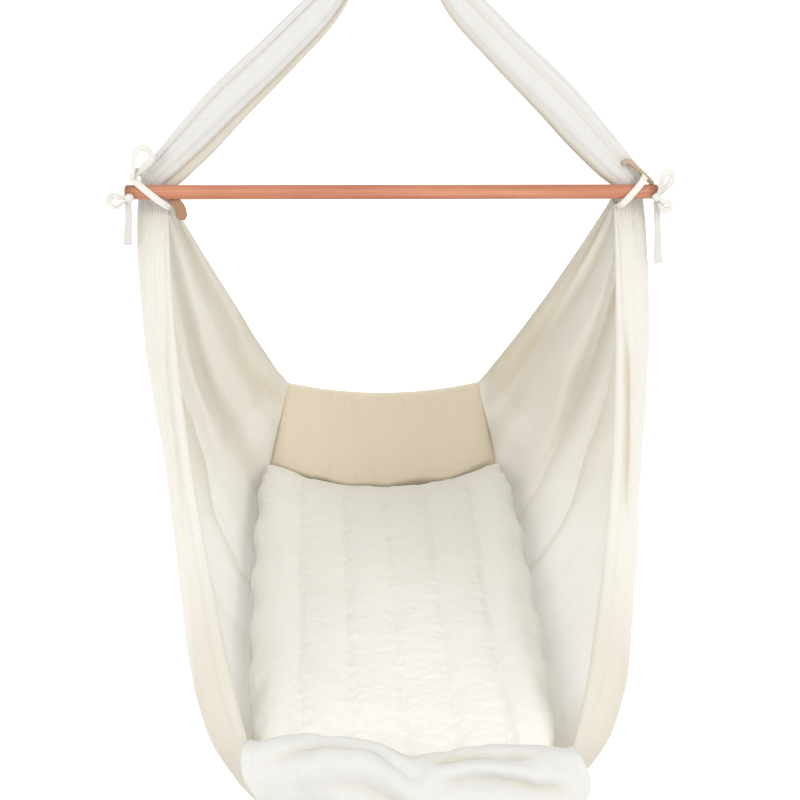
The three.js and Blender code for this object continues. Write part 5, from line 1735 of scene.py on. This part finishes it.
def make_snap_hook():
    upper = CLIP_HIGH.z - CLIP_ROD_R - CLIP_HALF_W
    lower = CLIP_LOW.z + CLIP_ROD_R + CLIP_HALF_W
    nose, heel = upper - CLIP_SHOULDER_L, lower + CLIP_SHOULDER_L
    rows = [
        [[CLIP_HALF_W, nose], [CLIP_HALF_W, nose + CLIP_STUB_L]],
        arc((0.0, upper), CLIP_HALF_W, 0.0, 180.0, 48),
        np.linspace([-CLIP_HALF_W, upper], [-CLIP_HALF_W, lower], 12)[1:-1],
        arc((0.0, lower), CLIP_HALF_W, 180.0, 360.0, 48),
        [[CLIP_HALF_W, heel - CLIP_STUB_L], [CLIP_HALF_W, heel]],
    ]
    rod = swept("hook_rod", in_plane(np.vstack(rows), "XZ"), round_section(CLIP_ROD_R, 24), Y_AXIS)
    nose_tongue = tongue("nose_tongue", nose + CLIP_SHOULDER_L, nose - NOSE_TONGUE_L + CLIP_SHOULDER_L)
    heel_tongue = tongue("heel_tongue", heel - CLIP_SHOULDER_L, heel + HEEL_TONGUE_L - CLIP_SHOULDER_L)
    obj = joined("snap_hook", [rod, nose_tongue, heel_tongue])
    finished(obj, STEEL, "steel", "carabiner_body", body="clip")


make_snap_hook()

for node in ("carabiner_gate", "carabiner_pin"):
    painted(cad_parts[node], STEEL)

RING_HALF_L = 0.028
RING_CORNER_R = 0.005


def make_ring():
    low = RING_LOW.z + RING_ROD_R
    corner_z = low + RING_CORNER_R
    rows = [
        arc((0.0, corner_z), RING_HALF_L + RING_CORNER_R, 0.0, 180.0, 60),
        arc((-RING_HALF_L, corner_z), RING_CORNER_R, 180.0, 270.0, 10)[1:],
        np.linspace([-RING_HALF_L, low], [RING_HALF_L, low], 24)[1:-1],
        arc((RING_HALF_L, corner_z), RING_CORNER_R, 270.0, 360.0, 10)[:-1],
    ]
    path = in_plane(np.vstack(rows), "YZ")
    obj = swept("steel_ring", path, round_section(RING_ROD_R, 20), X_AXIS, True)
    finished(obj, STEEL, "steel", "d_ring")


make_ring()


# Surroundings

WHITE = (1.0, 1.0, 1.0, 1.0)
STAGE_COLOUR = (0.92, 0.92, 0.92, 1.0)
STAGE_DROP = 0.35
STAGE_HALF_W = 12.0
# Lamps: place, the point they are aimed at, width and power
LAMPS = {
    "key": ((1.6, -2.4, 0.8), (0.0, 0.0, -0.80), 1.3, 37.0),
    "fill": ((-1.8, -2.3, 0.6), (0.0, 0.0, -0.80), 1.8, 29.5),
    "left": ((-1.6, 0.3, -1.25), (0.0, -0.1, -0.95), 1.8, 8.5),
    "right": ((1.6, 0.3, -1.25), (0.0, -0.1, -0.95), 1.8, 8.5),
}


def seen_straight(tree):
    """1 where a surface is looked at or mirrored, 0 where it only lights others."""
    path = add_node(tree, "ShaderNodeLightPath")
    return math_node(tree, "MAXIMUM", path.outputs["Is Camera Ray"], path.outputs["Is Glossy Ray"])


def make_stage():
    low = cad_box[0][2] - STAGE_DROP
    corners = [(x * STAGE_HALF_W, y * STAGE_HALF_W, low) for x, y in ((-1, -1), (1, -1), (1, 1), (-1, 1))]
    mesh = bpy.data.meshes.new("floor")
    mesh.from_pydata(corners, [], [(0, 1, 2, 3)])
    material, tree, shader = new_material("pale_floor")
    glow = math_node(tree, "MULTIPLY", seen_straight(tree), 0.55)
    light = {"Emission Strength": glow, "Emission Color": WHITE}
    set_inputs(tree, shader, {"Base Color": STAGE_COLOUR, "Roughness": 0.95, **light})
    mesh.materials.append(material)
    new_object("floor", mesh)


def make_world():
    world = bpy.data.worlds.new("studio")
    bpy.context.scene.world = world
    world.use_nodes = True
    tree = world.node_tree
    strength = mapped(tree, seen_straight(tree), 0.0, 1.0, 0.925, 1.0)
    set_inputs(tree, tree.nodes["Background"], {"Color": WHITE, "Strength": strength})


def soft_lamp(name, at, aim, size, power):
    data = bpy.data.lights.new(name, "AREA")
    data.shape = "DISK"
    data.size = size
    data.energy = power
    lamp = new_object(name, data)
    lamp.location = at
    lamp.visible_camera = False
    way = np.array(aim) - np.array(at)
    flat = math.hypot(way[0], way[1])
    lamp.rotation_euler = (math.atan2(flat, -way[2]), 0.0, math.atan2(way[1], way[0]) - math.pi / 2)


make_stage()
make_world()
for name, lamp in LAMPS.items():
    soft_lamp(name, *lamp)

bpy.context.scene.view_settings.view_transform = "Standard"
